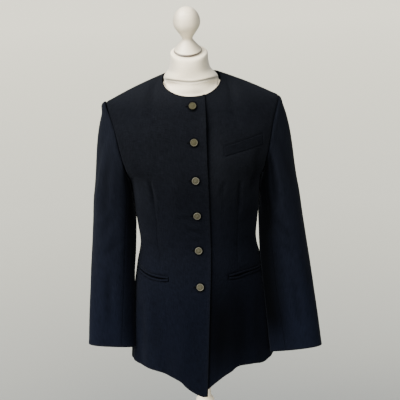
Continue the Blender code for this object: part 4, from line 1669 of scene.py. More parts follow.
@dataclass(frozen=True)
class SleeveRow:
    """One section of a sleeve: where its middle is and how wide and deep it is."""

    z: float
    x: float
    y: float
    half_width: float
    half_depth: float
    fullness: float


@dataclass(frozen=True)
class Hang:
    """How one sleeve hangs: how far its cuff is moved out, forward, down and inwards."""

    out: float
    forward: float
    drop: float
    tuck: float


@dataclass(frozen=True)
class SleevePattern:
    """A sleeve as a surface over turns and stations, on the +X side."""

    body: BodyPattern = field(default_factory=BodyPattern)
    rows: tuple[SleeveRow, ...] = (
        SleeveRow(1.100, 0.1985, 0.001, 0.0530, 0.0640, 2.3),
        SleeveRow(1.020, 0.2055, -0.003, 0.0555, 0.0600, 2.3),
        SleeveRow(0.940, 0.2130, -0.010, 0.0575, 0.0560, 2.3),
        SleeveRow(0.860, 0.2200, -0.022, 0.0590, 0.0520, 2.4),
        SleeveRow(0.780, 0.2270, -0.036, 0.0600, 0.0480, 2.6),
        SleeveRow(0.700, 0.2330, -0.048, 0.0605, 0.0440, 2.9),
    )
    cuff_tilt: float = 0.22
    cuff_slope: float = 0.09
    turns: float = 24.0
    cap_lift: float = 0.30
    clearance: float = 0.0016
    softness: float = 0.0040
    seam: float = 0.0003

    def armhole(self, turns: Array) -> tuple[Array, Array, Array]:
        """The armhole's corner points, outward directions and directions off the panel.

        Args:
            turns: Places round the armhole, from the shoulder tip down the front.

        Returns:
            Points, outward directions and directions off the panel.
        """
        half = self.turns / 2
        places, outs, aways = [], [], []
        span = self.body.top - self.body.underarm
        side = np.array([1.0])
        for turn in np.mod(turns, self.turns):
            back = turn > half
            step = (turn - half) if back else (half - turn)
            level = self.body.underarm + step * span / half
            low = max(level - 0.02, self.body.underarm)
            high = min(level + 0.02, float(self.body.top))
            rising = (self.body.points(side, high, back)
                      - self.body.points(side, low, back))[0]
            normal = self.body.normals(side, level, back)[0]
            near = abs(turn) if turn < half else self.turns - turn
            if near < 1.0:
                other = self.body.normals(side, level, not back)[0]
                normal = unit(normal * (0.5 + near / 2) + other * (0.5 - near / 2))
            away = np.cross(rising, normal) if not back else np.cross(normal, rising)
            places.append(self.body.points(side, level, back)[0])
            outs.append(normal)
            aways.append(unit(away))
        return np.array(places), np.array(outs), np.array(aways)

    def body_side(self, y: Array, z: Array) -> Array:
        """How far out the body reaches at depths and heights below the armhole.

        Args:
            y: The depths.
            z: The heights.

        Returns:
            The distances along X.
        """
        under = self.body.underarm
        rows = self.body.rows[:under + 2]
        ends = np.array([row.back_end[2] for row in rows])
        index = np.clip(np.searchsorted(ends, z, side="right") - 1, 0, len(ends) - 2)
        share = np.clip((z - ends[index]) / (ends[index + 1] - ends[index]), 0.0, 1.0)

        def width(at: Array) -> Array:
            """The body's half width at rows of the pattern.

            Args:
                at: The rows.

            Returns:
                The half widths.
            """
            at = np.minimum(at, under)
            fullness = np.array([row.fullness for row in rows])[at]
            front = np.array([-row.front_y for row in rows])[at]
            back = np.array([row.back_y for row in rows])[at]
            depth = np.where(y > 0, back, front)
            inside = np.maximum(1 - (np.abs(y) / depth) ** fullness, 0.0)
            return np.array([row.front_end[0] for row in rows])[at] * inside ** (1 / fullness)

        return width(index) * (1 - share) + width(index + 1) * share

    def section(self, row: SleeveRow, turns: Array, hang: Hang) -> Array:
        """A sleeve's section, held clear of the body.

        Args:
            row: The section's sizes.
            turns: Places round it.
            hang: How the sleeve hangs.

        Returns:
            The points.
        """
        share = (self.rows[0].z - row.z) / (self.rows[0].z - self.rows[-1].z)
        angle = 2 * math.pi * turns / self.turns
        across, along = np.cos(angle), np.sin(angle)
        size = squared_reach(across, along, row.half_width, row.half_depth, row.fullness)
        y = row.y - size * along - hang.forward * share
        x = row.x + size * across + hang.out * share
        tip = self.cuff_tilt * size * along + self.cuff_slope * size * across
        z = row.z - hang.drop * share + tip * share ** 3
        corner = hump(turns % self.turns - 9.6, 1.8)
        x = x - hang.tuck * corner * smoothstep(0.31, 0.47, share)
        limit = self.body_side(y, z) + self.clearance
        x = (x + limit + np.hypot(x - limit, self.softness)) / 2
        return np.stack([x, y, z], axis=-1)

    def cap_weight(self, turns: Array) -> Array:
        """How much each place belongs to the sleeve head."""
        return (0.5 + 0.5 * np.cos(2 * math.pi * turns / self.turns)) ** 0.7

    def surface(self, turns: Array, hang: Hang,
                shares: Array) -> tuple[Array, Array]:
        """A stretch of sleeve, from the armhole to the cuff.

        Args:
            turns: Places round the sleeve.
            hang: How the sleeve hangs.
            shares: Shares of its length at which it has rings.

        Returns:
            The points and outward directions, rings by places by three.
        """
        corner, normal, away = self.armhole(turns)
        sections = [self.section(row, turns, hang) for row in self.rows]
        lift = self.cap_lift * self.cap_weight(turns)
        start = unit(unit(sections[0] - corner) + lift[:, None] * np.array([1.0, 0.0, 0.0]))
        turn = np.maximum(np.arctan2((start * normal).sum(-1), (start * away).sum(-1)), 0.0)
        turn = turn[:, None]
        first = corner + self.seam * (away * np.cos(turn / 2) + normal * np.sin(turn / 2))
        face = normal * np.cos(turn) - away * np.sin(turn)
        stations = [first, *sections]
        last = len(stations) - 1
        coarse = np.linspace(0.0, last, last * 12 + 1)
        middles = [spline(stations, place, start).mean(axis=0) for place in coarse]
        run = run_along(np.array(middles))
        places = np.interp(shares * run[-1], run, coarse)
        places[0], places[-1] = 0.0, last
        points, above, below = (
            np.array([spline(stations, place, start) for place in np.clip(at, 0.0, last)])
            for at in (places, places - 0.02, places + 0.02))
        normals = unit(np.cross(np.gradient(points, axis=1), below - above))
        ease = smoothstep(0.0, 0.012, arc_lengths(points, 0)[..., None])
        return points, unit(face[None] * (1 - ease) + normals * ease)


@dataclass
class Sleeves:
    """Both two-piece sleeves, with their heads, creases and cuffs."""

    pattern: SleevePattern = field(default_factory=SleevePattern)
    cloth: float = CLOTH
    front_seam: float = 8.0
    back_seam: float = 15.0
    turn_width: float = 0.0158
    rings: Array = kept(edged(0.60, 0.0036))
    step: float = 0.0032
    crease_dark: float = 0.4
    cuts: dict[str, Point] = kept({"top": (0.30, 0.66, 0.150), "under": (0.13, 0.50, 0.050)})
    hangs: dict[Side, Hang] = kept({Side.RIGHT: Hang(-0.0065, -0.004, -0.0095, 0.002),
                                    Side.LEFT: Hang(0.005, 0.012, 0.011, 0.018)})
    heads: dict[Side, float] = kept({Side.RIGHT: 0.0060, Side.LEFT: 0.0005})
    waists: dict[Side, float] = kept({Side.RIGHT: 0.0030, Side.LEFT: -0.0025})
    inner_shades: dict[Side, Point] = kept({Side.RIGHT: (0.55, 6.8, 8.7),
                                            Side.LEFT: (1.0, 5.9, 9.0)})
    creases: dict[Side, tuple[Crease, ...]] = kept({
        Side.RIGHT: (
            Crease((0.048, 1.270), (0.052, 1.020), 0.0080, -0.0016, 0.003),
            Crease((0.066, 1.210), (0.074, 1.020), 0.0100, 0.0018, -0.003),
            Crease((0.100, 1.060), (0.060, 0.985), 0.0120, 0.0012, 0.004),
            Crease((0.112, 0.990), (0.066, 0.950), 0.0110, 0.0010, -0.003),
            Crease((0.020, 1.000), (0.040, 0.870), 0.0150, 0.0012, 0.004),
            Crease((0.084, 0.930), (0.090, 0.760), 0.0110, 0.0014, 0.003),
            Crease((0.300, 1.150), (0.318, 0.960), 0.0130, 0.0020, 0.004),
            Crease((0.270, 1.010), (0.310, 0.930), 0.0110, 0.0022, -0.004),
            Crease((0.350, 1.000), (0.344, 0.820), 0.0140, 0.0012, 0.003),
        ),
        Side.LEFT: (
            Crease((0.103, 1.222), (0.104, 1.040), 0.0070, 0.0026, 0.002),
            Crease((0.084, 1.200), (0.088, 1.010), 0.0100, -0.0016, -0.003),
            Crease((0.060, 1.240), (0.056, 1.080), 0.0120, 0.0010, 0.003),
            Crease((0.112, 1.040), (0.070, 0.960), 0.0120, 0.0013, -0.004),
            Crease((0.108, 0.965), (0.072, 0.925), 0.0105, 0.0010, 0.003),
            Crease((0.030, 0.960), (0.046, 0.830), 0.0150, 0.0012, 0.004),
            Crease((0.086, 0.900), (0.080, 0.740), 0.0120, 0.0014, -0.003),
            Crease((0.296, 1.170), (0.312, 0.980), 0.0120, 0.0018, -0.004),
            Crease((0.280, 1.030), (0.322, 0.950), 0.0110, 0.0022, 0.004),
            Crease((0.352, 0.980), (0.346, 0.800), 0.0140, 0.0012, -0.003),
        ),
    })

    def piece(self, side: Side, first: float, last: float) -> Sheeting:
        """One piece of a sleeve as sheeting on the +X side.

        Args:
            side: The wearer's side.
            first: The turn where it starts.
            last: The turn where it ends.

        Returns:
            The sheeting.
        """
        turns = graded(first, last, edged((last - first) * self.turn_width, self.step))
        sheet = Sheeting(*self.pattern.surface(turns, self.hangs[side], self.rings), self.cloth)
        up = sheet.points[..., 2]
        place = np.mod(turns, self.pattern.turns)[None, :]
        across = np.broadcast_to(place * self.turn_width, up.shape)
        for crease in self.creases[side]:
            sheet.press(crease.push(across, up), self.crease_dark)
        away = sheet.distance(Edge.FIRST_ROW)
        cap = self.pattern.cap_weight(turns)[None, :]
        sheet.down -= 0.0013 * hump(away - 0.011, 0.007) * cap
        sheet.down -= self.heads[side] * hump(up - 1.308, 0.012) * cap ** 3
        inner = band((7.0, 9.0), (14.0, 16.0), place)
        sheet.down += self.waists[side] * hump(up - 0.945, 0.075) * inner
        dark, start, full = self.inner_shades[side]
        heights = 0.4 + 0.6 * smoothstep(0.700, 0.790, up) + 0.7 * smoothstep(0.98, 1.06, up)
        sheet.shade += dark * band((start, full), (15.0, 17.0), place) * heights
        sheet.sew_edge(Edge.FIRST_ROW, depth=0.0013)
        for edge in (Edge.FIRST_COLUMN, Edge.LAST_COLUMN):
            sheet.sew_edge(edge, depth=0.0004, width=0.0022, swell=0.0001, line=0.08)
        sheet.round_edge(Edge.LAST_ROW, turning=0.0004)
        return sheet

    def build(self, wool: Material) -> None:
        """Build and dress the four sleeve pieces.

        Args:
            wool: The sleeves' cloth.
        """
        ends = {"top": (self.back_seam, self.pattern.turns + self.front_seam),
                "under": (self.front_seam, self.back_seam)}
        for side in Side:
            for part, (first, last) in ends.items():
                name = f"sleeve_{part}_{side.word}"
                item = self.piece(side, first, last).build(f"{name}_cloth", side)
                dress(item, "wool", wool, replaces=name)


# Pockets


@dataclass
class Strip:
    """A strip of cloth on a front between two lines, with rounded edges."""

    probe: PanelProbe
    lower: Lines
    upper: Lines
    thickness: float
    mouth: Lines = ()
    width: float = 0.0200
    bridge: float = 0.0095
    gap: float = 0.0003
    shade: float = 0.0
    length: float = 0.105

    def bed(self, x: float, z: float) -> tuple[Vector, Vector]:
        """The cloth under the strip, bridged over a pocket's mouth.

        Args:
            x: The place's X.
            z: The place's Z.

        Returns:
            The point and the outward direction there.
        """
        if not self.mouth:
            return self.probe.steady(x, z)
        middle = float(np.interp(abs(x), *zip(*self.mouth)))
        low, out_low = self.probe.steady(x, middle - self.bridge)
        high, out_high = self.probe.steady(x, middle + self.bridge)
        share = (z - middle + self.bridge) / (2 * self.bridge)
        return low.lerp(high, share), out_low.lerp(out_high, share).normalized()

    def line(self, places: Lines) -> Array:
        """Places along a smooth line, finer near its ends.

        Args:
            places: The line's own places.

        Returns:
            The places.
        """
        smooth = smooth_line(places, 0.002)
        run = run_along(smooth)
        at = edged(self.length, 0.0015) * run[-1]
        return np.stack([np.interp(at, run, smooth[:, i]) for i in range(2)], axis=-1)

    def build(self, name: str, sign: int, crown: float = 0.0) -> Item:
        """The strip as an object.

        Args:
            name: The object's name.
            sign: The sign of its side's X.
            crown: How far its middle stands up.

        Returns:
            The object.
        """
        low, high, rows = self.line(self.lower), self.line(self.upper), []
        for rise in edged(self.width, 0.0012):
            stand = self.gap + self.thickness + crown * math.sin(math.pi * rise)
            spots = [self.bed(sign * x, z) for x, z in low + (high - low) * rise]
            rows.append([(point + normal * stand, normal) for point, normal in spots])
        sheet = Sheeting.of_rows(rows, self.thickness)
        for edge in Edge:
            sheet.round_edge(edge, turning=0.0, rub=0.15)
        sheet.shade += self.shade
        return sheet.build(name)


@dataclass
class Pockets:
    """The jetted hip pockets and the breast welt."""

    body: CoatBody
    jet_thickness: float = 0.0013
    jet_width: float = 0.0134
    jet_crown: float = 0.0004
    welt_thickness: float = 0.0016
    jet_shades: dict[Side, float] = kept({Side.RIGHT: 0.0, Side.LEFT: 0.35})

    def build(self, wool: Material) -> None:
        """Build and dress the jets and the welt.

        Args:
            wool: Their cloth.
        """
        for side in Side:
            probe = PanelProbe(self.body.panels[f"front_{side.word}"])
            mouth, gapes = self.body.mouths[side], self.body.gapes[side]
            for part, sign in (("upper", 1), ("lower", -1)):
                near = tuple((x, z + sign * gape / 2) for (x, z), gape in zip(mouth, gapes))
                far = tuple((x, z + sign * self.body.jet_height) for x, z in near)
                low, high = (near, far)[::sign]
                name = f"hip_pocket_{part}_{side.word}"
                strip = Strip(probe, low, high, self.jet_thickness, mouth, self.jet_width,
                              shade=self.jet_shades[side])
                item = strip.build(f"{name}_jet", side.value, self.jet_crown)
                dress(item, "wool", wool, replaces=name)
                f"front_{side.word}_cloth"
        probe = PanelProbe(self.body.panels["front_left"])
        strip = Strip(probe, self.body.welt_lower, self.body.welt_upper,
                      self.welt_thickness)
        item = strip.build("breast_welt_cloth", 1)
        dress(item, "wool", wool, replaces="breast_welt")


# Buttons and buttonholes


@dataclass
class StitchTree:
    """A node tree that lays stitches across a path, one small bar of thread at each step."""

    name: str = "stitches"
    inputs: dict[str, float] = kept({"Spacing": 0.0006, "Length": 0.0018,
                                     "Thickness": 0.0005, "Unevenness": 0.12})
    seed: int = 7
    tree: bpy.types.GeometryNodeTree = field(init=False)
    sockets: dict[str, str] = field(default_factory=dict)

    def __post_init__(self) -> None:
        """Make the tree with its inputs and its output, then its nodes."""
        self.tree = bpy.data.node_groups.new(self.name, "GeometryNodeTree")
        add_socket = self.tree.interface.new_socket
        add_socket("Path", in_out="INPUT", socket_type="NodeSocketGeometry")
        for name, value in self.inputs.items():
            socket = add_socket(name, in_out="INPUT", socket_type="NodeSocketFloat")
            socket.default_value = value
            self.sockets[name] = socket.identifier
        thread = add_socket("Thread", in_out="INPUT", socket_type="NodeSocketMaterial")
        self.sockets["Thread"] = thread.identifier
        add_socket("Stitches", in_out="OUTPUT", socket_type="NodeSocketGeometry")
        self.add_nodes()

    def add_nodes(self) -> None:
        """Add and link the tree's nodes."""
        bench = NodeBench(self.tree)
        given = bench.add("NodeGroupInput").outputs
        curve = bench.add("GeometryNodeMeshToCurve", {"Mesh": given["Path"]})
        steps = bench.add("GeometryNodeResampleCurve",
                          {"Curve": curve.outputs["Curve"], "Length": given["Spacing"]},
                          mode="LENGTH")
        bar = bench.add("GeometryNodeMeshIcoSphere", {"Radius": 0.5, "Subdivisions": 2})
        size = bench.add("ShaderNodeCombineXYZ", {"X": given["Thickness"],
                                                  "Y": given["Length"],
                                                  "Z": given["Thickness"]})
        out_way = bench.add("GeometryNodeInputNamedAttribute", {"Name": "out_way"},
                            data_type="FLOAT_VECTOR")
        stand = bench.add("FunctionNodeAlignRotationToVector",
                          {"Vector": out_way.outputs["Attribute"]}, axis="Z")
        tangent = bench.add("GeometryNodeInputTangent")
        lie = bench.add("FunctionNodeAlignRotationToVector",
                        {"Rotation": stand.outputs["Rotation"],
                         "Vector": tangent.outputs["Tangent"]}, axis="X", pivot_axis="Z")
        jitter = bench.add("FunctionNodeRandomValue",
                           {2: bench.sum(1.0, given["Unevenness"], "SUBTRACT"),
                            3: bench.sum(1.0, given["Unevenness"]), "Seed": self.seed},
                           data_type="FLOAT")
        scale = bench.add("ShaderNodeVectorMath",
                          {0: size.outputs["Vector"], "Scale": jitter.outputs[1]},
                          operation="SCALE")
        lay = bench.add("GeometryNodeInstanceOnPoints",
                        {"Points": steps.outputs["Curve"], "Instance": bar.outputs["Mesh"],
                         "Rotation": lie.outputs["Rotation"],
                         "Scale": scale.outputs["Vector"]})
        real = bench.add("GeometryNodeRealizeInstances",
                         {"Geometry": lay.outputs["Instances"]})
        finish = bench.add("GeometryNodeSetMaterial", {"Geometry": real.outputs["Geometry"],
                                                       "Material": given["Thread"]})
        bench.add("NodeGroupOutput", {"Stitches": finish.outputs["Geometry"]})

    def sew(self, name: str, path: list[tuple[Vector, Vector]], thread: Material,
            sizes: dict[str, float]) -> Item:
        """Stitches along a path, as a plain mesh dressed as thread.

        Args:
            name: The object's name.
            path: Points and outward directions.
            thread: The stitches' material.
            sizes: Sizes by the tree's input names.

        Returns:
            The object.
        """
        mesh = bpy.data.meshes.new(f"{name}_path")
        edges = [(i, i + 1) for i in range(len(path) - 1)]
        mesh.from_pydata([point for point, _ in path], edges, [])
        ways = mesh.attributes.new("out_way", "FLOAT_VECTOR", "POINT")
        ways.data.foreach_set("vector", [value for _, way in path for value in way])
        item = place_object(name, mesh)
        stitches = item.modifiers.new("stitches", "NODES")
        stitches.node_group = self.tree
        for key, value in (sizes | {"Thread": thread}).items():
            stitches[self.sockets[key]] = value
        depsgraph = bpy.context.evaluated_depsgraph_get()
        sewn = bpy.data.meshes.new_from_object(item.evaluated_get(depsgraph))
        item.modifiers.clear()
        item.data = sewn
        bpy.data.meshes.remove(mesh)
        sewn.shade_smooth()
        dress(item, "wool", thread)
        return item


@dataclass
class Buttons:
    """Six shank buttons and their buttonholes down the right front."""

    body: CoatBody
    radius: float = 0.0088
    rim: float = 0.0020
    rim_height: float = 0.00085
    thickness: float = 0.0024
    dome: float = 0.0009
    petals: int = 8
    sides: int = 96
    turn: float = 37.0
    rolled: Lines = ((0.998, 0.0024), (1.0, 0.0020), (0.995, 0.0016), (0.97, 0.0013),
                     (0.90, 0.0012), (0.60, 0.0012), (0.33, 0.0011), (0.30, 0.0004),
                     (0.29, 0.0001))
    hole_start: float = 0.004
    hole_reach: float = 0.0162
    hole_half_height: float = 0.0011
    stitch_sizes: dict[str, float] = kept({"Spacing": 0.00055, "Length": 0.0017,
                                           "Thickness": 0.00062, "Unevenness": 0.10})

    def heights(self) -> list[tuple[float, Vector, Vector]]:
        """Find where the buttons sit on the pattern.

        Returns:
            Each button's height, point and outward direction.
        """
        pattern, centre, places = self.body.pattern, np.array([0.0]), []
        levels = np.linspace(2.0, pattern.top, 2001)
        line = [pattern.points(centre, level)[0, 2] for level in levels]
        for z in self.body.button_heights:
            level = float(np.interp(z, line, levels))
            places.append((z, Vector(pattern.points(centre, level)[0]),
                           Vector(pattern.normals(centre, level)[0])))
        return places

    def relief(self, share: Array, angle: Array) -> Array:
        """What stands on the button's dome: a rolled rim, a bead, a rosette and a boss.

        Args:
            share: Distances from the middle, as shares of the radius.
            angle: Directions from the middle.

        Returns:
            Heights in metres.
        """
        petal = 0.5 + 0.5 * np.cos(self.petals * angle)
        return (self.rim_height * hump(share - (1 - self.rim / self.radius / 2), 0.085)
                + 0.00018 * hump(share - 0.70, 0.035)
                + 0.00042 * petal * hump(share - 0.36, 0.16) + 0.00050 * hump(share, 0.13))

    def button(self, name: str, place: Matrix) -> Item:
        """One button.

        Args:
            name: The object's name.
            place: Where its back is, with +Z out of the cloth.

        Returns:
            The object, with its relief kept for the finish.
        """
        angles = round_angles(self.sides)
        shares = np.concatenate([np.linspace(0.03, 0.90, 34), [0.925, 0.95, 0.97, 0.985]])
        high = self.relief(shares[:, None], angles[None, :])
        base = (self.thickness + self.dome * (1 - shares ** 2))[:, None]
        across, rise = np.array(self.rolled).T
        across = np.concatenate([shares, across])[:, None] * self.radius
        rise = np.concatenate([base + high, np.repeat(rise[:, None], self.sides, axis=1)])
        rings = np.stack([across * np.cos(angles), across * np.sin(angles), rise], axis=-1)
        item = ring_object(name, rings)
        mark(item, "relief", np.clip(high / self.rim_height, 0.0, 1.0), 0.35)
        item.data.transform(place)
        return item

    def hole_path(self, probe: PanelProbe, z: float) -> list[tuple[Vector, Vector]]:
        """The loop of thread round a buttonhole.

        Args:
            probe: Finds places on the right front.
            z: The buttonhole's height.

        Returns:
            Points and outward directions round the loop.
        """
        height = self.hole_half_height
        end, start = height - self.hole_reach, -self.hole_start
        loop = [(x, z + height) for x in np.linspace(start, end, 14)]
        loop += [(end - height * math.sin(a), z + height * math.cos(a))
                 for a in np.linspace(0.3, math.pi - 0.3, 6)]
        loop += [(x, z - height) for x in np.linspace(end, start, 14)]
        spots = [probe.steady(float(x), float(up)) for x, up in loop]
        return [(point + normal * 0.00025, normal) for point, normal in spots]

    def slit(self, name: str, probe: PanelProbe, z: float) -> Item:
        """A painted shadow in the slit inside a buttonhole, as a dark thin lens on the cloth.

        Args:
            name: The object's name.
            probe: Finds places on the right front.
            z: The slit's height.

        Returns:
            The object.
        """
        rows = []
        for rise in np.linspace(-1, 1, 5):
            stand = 0.00022 - 0.00012 * rise * rise
            row = []
            for share in np.linspace(0, 1, 16):
                x = -self.hole_start - (self.hole_reach - 0.0055) * share
                half = 0.00062 * math.sqrt(max(1 - (2 * share - 1) ** 4, 0.03))
                point, normal = probe.steady(x, z + half * rise)
                row.append((point + normal * stand, normal))
            rows.append(row)
        return Sheeting.of_rows(rows, 0.0002).build(name)

    def build(self, brass: Material, thread: Material, shade: Material,
              tree: StitchTree) -> None:
        """Build and dress the buttons and buttonholes.

        Args:
            brass: The buttons' finish.
            thread: The buttonholes' thread.
            shade: The finish of the painted shadows in the slits.
            tree: The stitches' node tree.
        """
        probe = PanelProbe(self.body.panels["front_right"])
        for number, (z, point, normal) in enumerate(self.heights(), start=1):
            surface, _ = probe.at(0.0, z)
            lift = max((surface - point).dot(normal), 0.0) + 0.0003
            turn = Matrix.Rotation(math.radians(self.turn * number), 4, "Z")
            stand = normal.to_track_quat("Z", "Y").to_matrix().to_4x4()
            place = Matrix.Translation(point + normal * lift) @ stand @ turn
            item = self.button(f"button_{number}_metal", place)
            dress(item, "antiqued_brass", brass, replaces=f"button_{number}")
            tree.sew(f"buttonhole_{number}", self.hole_path(probe, z), thread,
                     self.stitch_sizes)
            dress(self.slit(f"buttonhole_slit_{number}", probe, z), "wool", shade)


@dataclass
class BarTacks:
    """Short rows of thread at the ends of the pockets."""

    body: CoatBody
    half_height: float = 0.0036
    away: float = 0.0012
    sizes: dict[str, float] = kept({"Spacing": 0.0006, "Length": 0.0016,
                                    "Thickness": 0.0005, "Unevenness": 0.15})

    def build(self, thread: Material, tree: StitchTree) -> None:
        """Sew and dress the tacks.

        Args:
            thread: Their thread.
            tree: The stitches' node tree.
        """
        for side in Side:
            probe = PanelProbe(self.body.panels[f"front_{side.word}"])
            mouth = self.body.mouths[side]
            for end, (x, z), away in (("inner", mouth[0], -self.away),
                                      ("outer", mouth[-1], self.away)):
                spots = [probe.steady(side.value * (x + away), z + float(rise))
                         for rise in np.linspace(-self.half_height, self.half_height, 8)]
                path = [(point + normal * 0.0002, normal) for point, normal in spots]
                tree.sew(f"bar_tack_{end}_{side.word}", path, thread, self.sizes)


# The dress form and its stand


@dataclass(frozen=True)
class FormRow:
    """One level of the form: a squared ellipse, with the shoulders' ridge over it."""

    z: float
    half_width: float
    front: float
    back: float
    fullness: float
    ridge: float = 0.0
    ridge_fullness: float = 1.0
    tilt: float = 0.0


@dataclass
class DressForm:
    """The limbless form: its covered torso and neck, and the finial on it."""

    rows: tuple[FormRow, ...] = (
        FormRow(0.7450, 0.1560, -0.1060, 0.108, 2.3), FormRow(0.7480, 0.1595, -0.1090, 0.112, 2.3),
        FormRow(0.8000, 0.1610, -0.1130, 0.118, 2.2), FormRow(0.8600, 0.1540, -0.1130, 0.117, 2.2),
        FormRow(0.9150, 0.1410, -0.1030, 0.100, 2.1), FormRow(0.9650, 0.1280, -0.0930, 0.073, 2.1),
        FormRow(1.0150, 0.1310, -0.0970, 0.071, 2.1), FormRow(1.0700, 0.1390, -0.1080, 0.081, 2.1),
        FormRow(1.1300, 0.1460, -0.1190, 0.091, 2.1), FormRow(1.1700, 0.1500, -0.1180, 0.094, 2.1),
        FormRow(1.2100, 0.1530, -0.1070, 0.093, 2.1), FormRow(1.2600, 0.1560, -0.0880, 0.083, 2.0),
        FormRow(1.3000, 0.1560, -0.0700, 0.068, 1.85), FormRow(1.3200, 0.1530, -0.0600, 0.057, 1.7),
        FormRow(1.3330, 0.1480, -0.0545, 0.050, 1.35),
        FormRow(1.3430, 0.0600, -0.0540, 0.046, 2.0, 0.1474, 0.96),
        FormRow(1.3530, 0.0570, -0.0535, 0.042, 2.0, 0.1120, 0.80),
        FormRow(1.3620, 0.0555, -0.0530, 0.039, 2.0, 0.0700, 1.00, 1),
        FormRow(1.3700, 0.0674, -0.0535, 0.037, 2.0, tilt=3),
        FormRow(1.3790, 0.0618, -0.0545, 0.034, 2.0, tilt=6),
        FormRow(1.3910, 0.0503, -0.0565, 0.030, 2.0, tilt=10),
        FormRow(1.4110, 0.0455, -0.0600, 0.025, 2.0, tilt=16),
        FormRow(1.4262, 0.0446, -0.0605, 0.021, 2.0, tilt=21),
        FormRow(1.4305, 0.0424, -0.0578, 0.017, 2.0, tilt=22),
        FormRow(1.4322, 0.0310, -0.0470, 0.006, 2.0, tilt=21),
    )
    ridge_blend: float = 12.0
    ridge_y: float = 0.0045
    neck_offset: float = -0.0036
    neck_blend: tuple[float, float] = (1.362, 1.384)
    seam_z: float = 1.3625
    seam_rise: float = 0.0050
    seam_depth: float = 0.0022
    seam_swell: float = 0.0005
    neck_foot: float = 1.33
    neck_step: float = 0.0012
    body_step: float = 0.008
    bare_height: float = 0.0033
    sides: int = 192
    smoothing: int = 60
    finial_profile: Lines = (
        (0.0, 0.1087), (0.0055, 0.1082), (0.0103, 0.1068), (0.0169, 0.1033),
        (0.0242, 0.0963), (0.0296, 0.0863), (0.0318, 0.0734), (0.0293, 0.0626),
        (0.0230, 0.0519), (0.0160, 0.0412), (0.0124, 0.0340), (0.0124, 0.0312),
        (0.0150, 0.0263), (0.0198, 0.0197), (0.0254, 0.0128), (0.0306, 0.0066),
        (0.0322, 0.0054), (0.0324, 0.0044), (0.0314, 0.0034), (0.0316, 0.0030),
        (0.0336, 0.0024), (0.0338, 0.0010), (0.0330, 0.0), (0.0, 0.0),
    )
    finial_foot: Point = (-0.0055, -0.0212, 1.4326)
    finial_tilt: float = 20.0

    def ring(self, row: FormRow) -> Array:
        """One ring of the form.

        Args:
            row: Its sizes.

        Returns:
            The points.
        """
        middle = self.ridge_y if row.tilt == 0 else (row.front + row.back) / 2
        offset = self.neck_offset * float(smoothstep(*self.neck_blend, row.z))
        angle = 2 * math.pi * np.arange(self.sides) / self.sides
        across, along = np.cos(angle), np.sin(angle)
        depth = np.where(along > 0, row.back - middle, middle - row.front)
        reach = squared_reach(across, along, row.half_width, depth, row.fullness)
        if row.ridge:
            ridge = squared_reach(across, along, row.ridge, depth, row.ridge_fullness)
            blend = self.ridge_blend
            reach = (reach ** blend + ridge ** blend) ** (1 / blend)
        x, y = reach * across, middle + reach * along
        lean = (y - middle) * math.tan(math.radians(row.tilt))
        return np.stack([x + offset, y, row.z + lean], axis=-1)

    def smoothed(self, surface: Array) -> Array:
        """Even out where the neck runs into the shoulders, staying inside the coat.

        Args:
            surface: Rings of the torso.

        Returns:
            The rings, evened out.
        """
        mask = band((1.330, 1.342), (1.378, 1.390), surface[..., 2])[..., None]
        free = np.where(np.abs(surface[..., 0]) < 0.060, 0.0030, 0.0002)[..., None]
        middle = surface.mean(axis=1, keepdims=True)
        outward = unit((surface - middle) * np.array([1.0, 1.0, 0.0]))
        even = surface.copy()
        for _ in range(self.smoothing):
            near = (np.roll(even, 1, axis=1) + np.roll(even, -1, axis=1)) / 2
            between = even.copy()
            between[1:-1] = (even[:-2] + even[2:]) / 2
            even += ((near + between) / 2 - even) * mask * 0.5
        out = ((even - surface) * outward).sum(axis=-1, keepdims=True)
        return even - outward * np.maximum(out - free, 0.0)

    def soiled(self, facing: Array) -> Array:
        """Painted shade on the form's sides, most where its outward directions' X is large."""
        return 0.74 * smoothstep(0.25, 0.95, np.abs(facing + 0.05))

    def torso(self) -> Item:
        """The torso with its neck and the seam round it.

        Returns:
            The object, with its painted shade kept for the finish.
        """
        rings, fine = np.array([self.ring(row) for row in self.rows]), []
        for i in range(len(rings) - 1):
            gap = np.linalg.norm(rings[i + 1] - rings[i], axis=-1).mean()
            step = self.neck_step if self.rows[i].z > self.neck_foot else self.body_step
            count = max(int(gap / step), 2)
            fine += [spline(rings, i + k / count) for k in range(count)]
        surface = self.smoothed(np.array([*fine, rings[-1]]))
        around = np.roll(surface, -1, axis=1) - np.roll(surface, 1, axis=1)
        outward = unit(np.cross(around, np.gradient(surface, axis=0)))
        side, height = np.abs(surface[..., 0]), surface[..., 2]
        off = height - self.seam_z - self.seam_rise * smoothstep(0.0, 0.062, side)
        shown = smoothstep(1.352, 1.357, height) * (1 - smoothstep(0.056, 0.066, side))
        groove = self.seam_depth * hump(off, 0.0018)
        swell = self.seam_swell * hump(np.abs(off) - 0.0042, 0.0024)
        surface -= outward * ((groove - swell) * shown)[..., None]
        item = ring_object("form_torso_cover", surface)
        # Painted shade at the sides and along the seam; darker below the seam.
        below = 0.16 * (1 - smoothstep(-0.004, 0.0, off))
        mark(item, "shade", self.soiled(outward[..., 0] * (1 - 3 * below)) + below
             + 0.85 * shown * hump(off, 0.0031))
        return item

    def top_off(self, paint: Material, raw_wood: Material) -> None:
        """Build and dress the finial on the neck.

        Args:
            paint: Its finish.
            raw_wood: The dark finish of its foot, a painted shadow under its rim.
        """
        item = turn_profile("finial_turned", smooth_line(self.finial_profile, 0.0016), 96)
        # Painted shade on the finial's sides.
        facing = np.array([vertex.normal.x for vertex in item.data.vertices])
        mark(item, "shade", self.soiled(facing))
        dress(item, "white_paint", paint, raw_wood, replaces="finial")
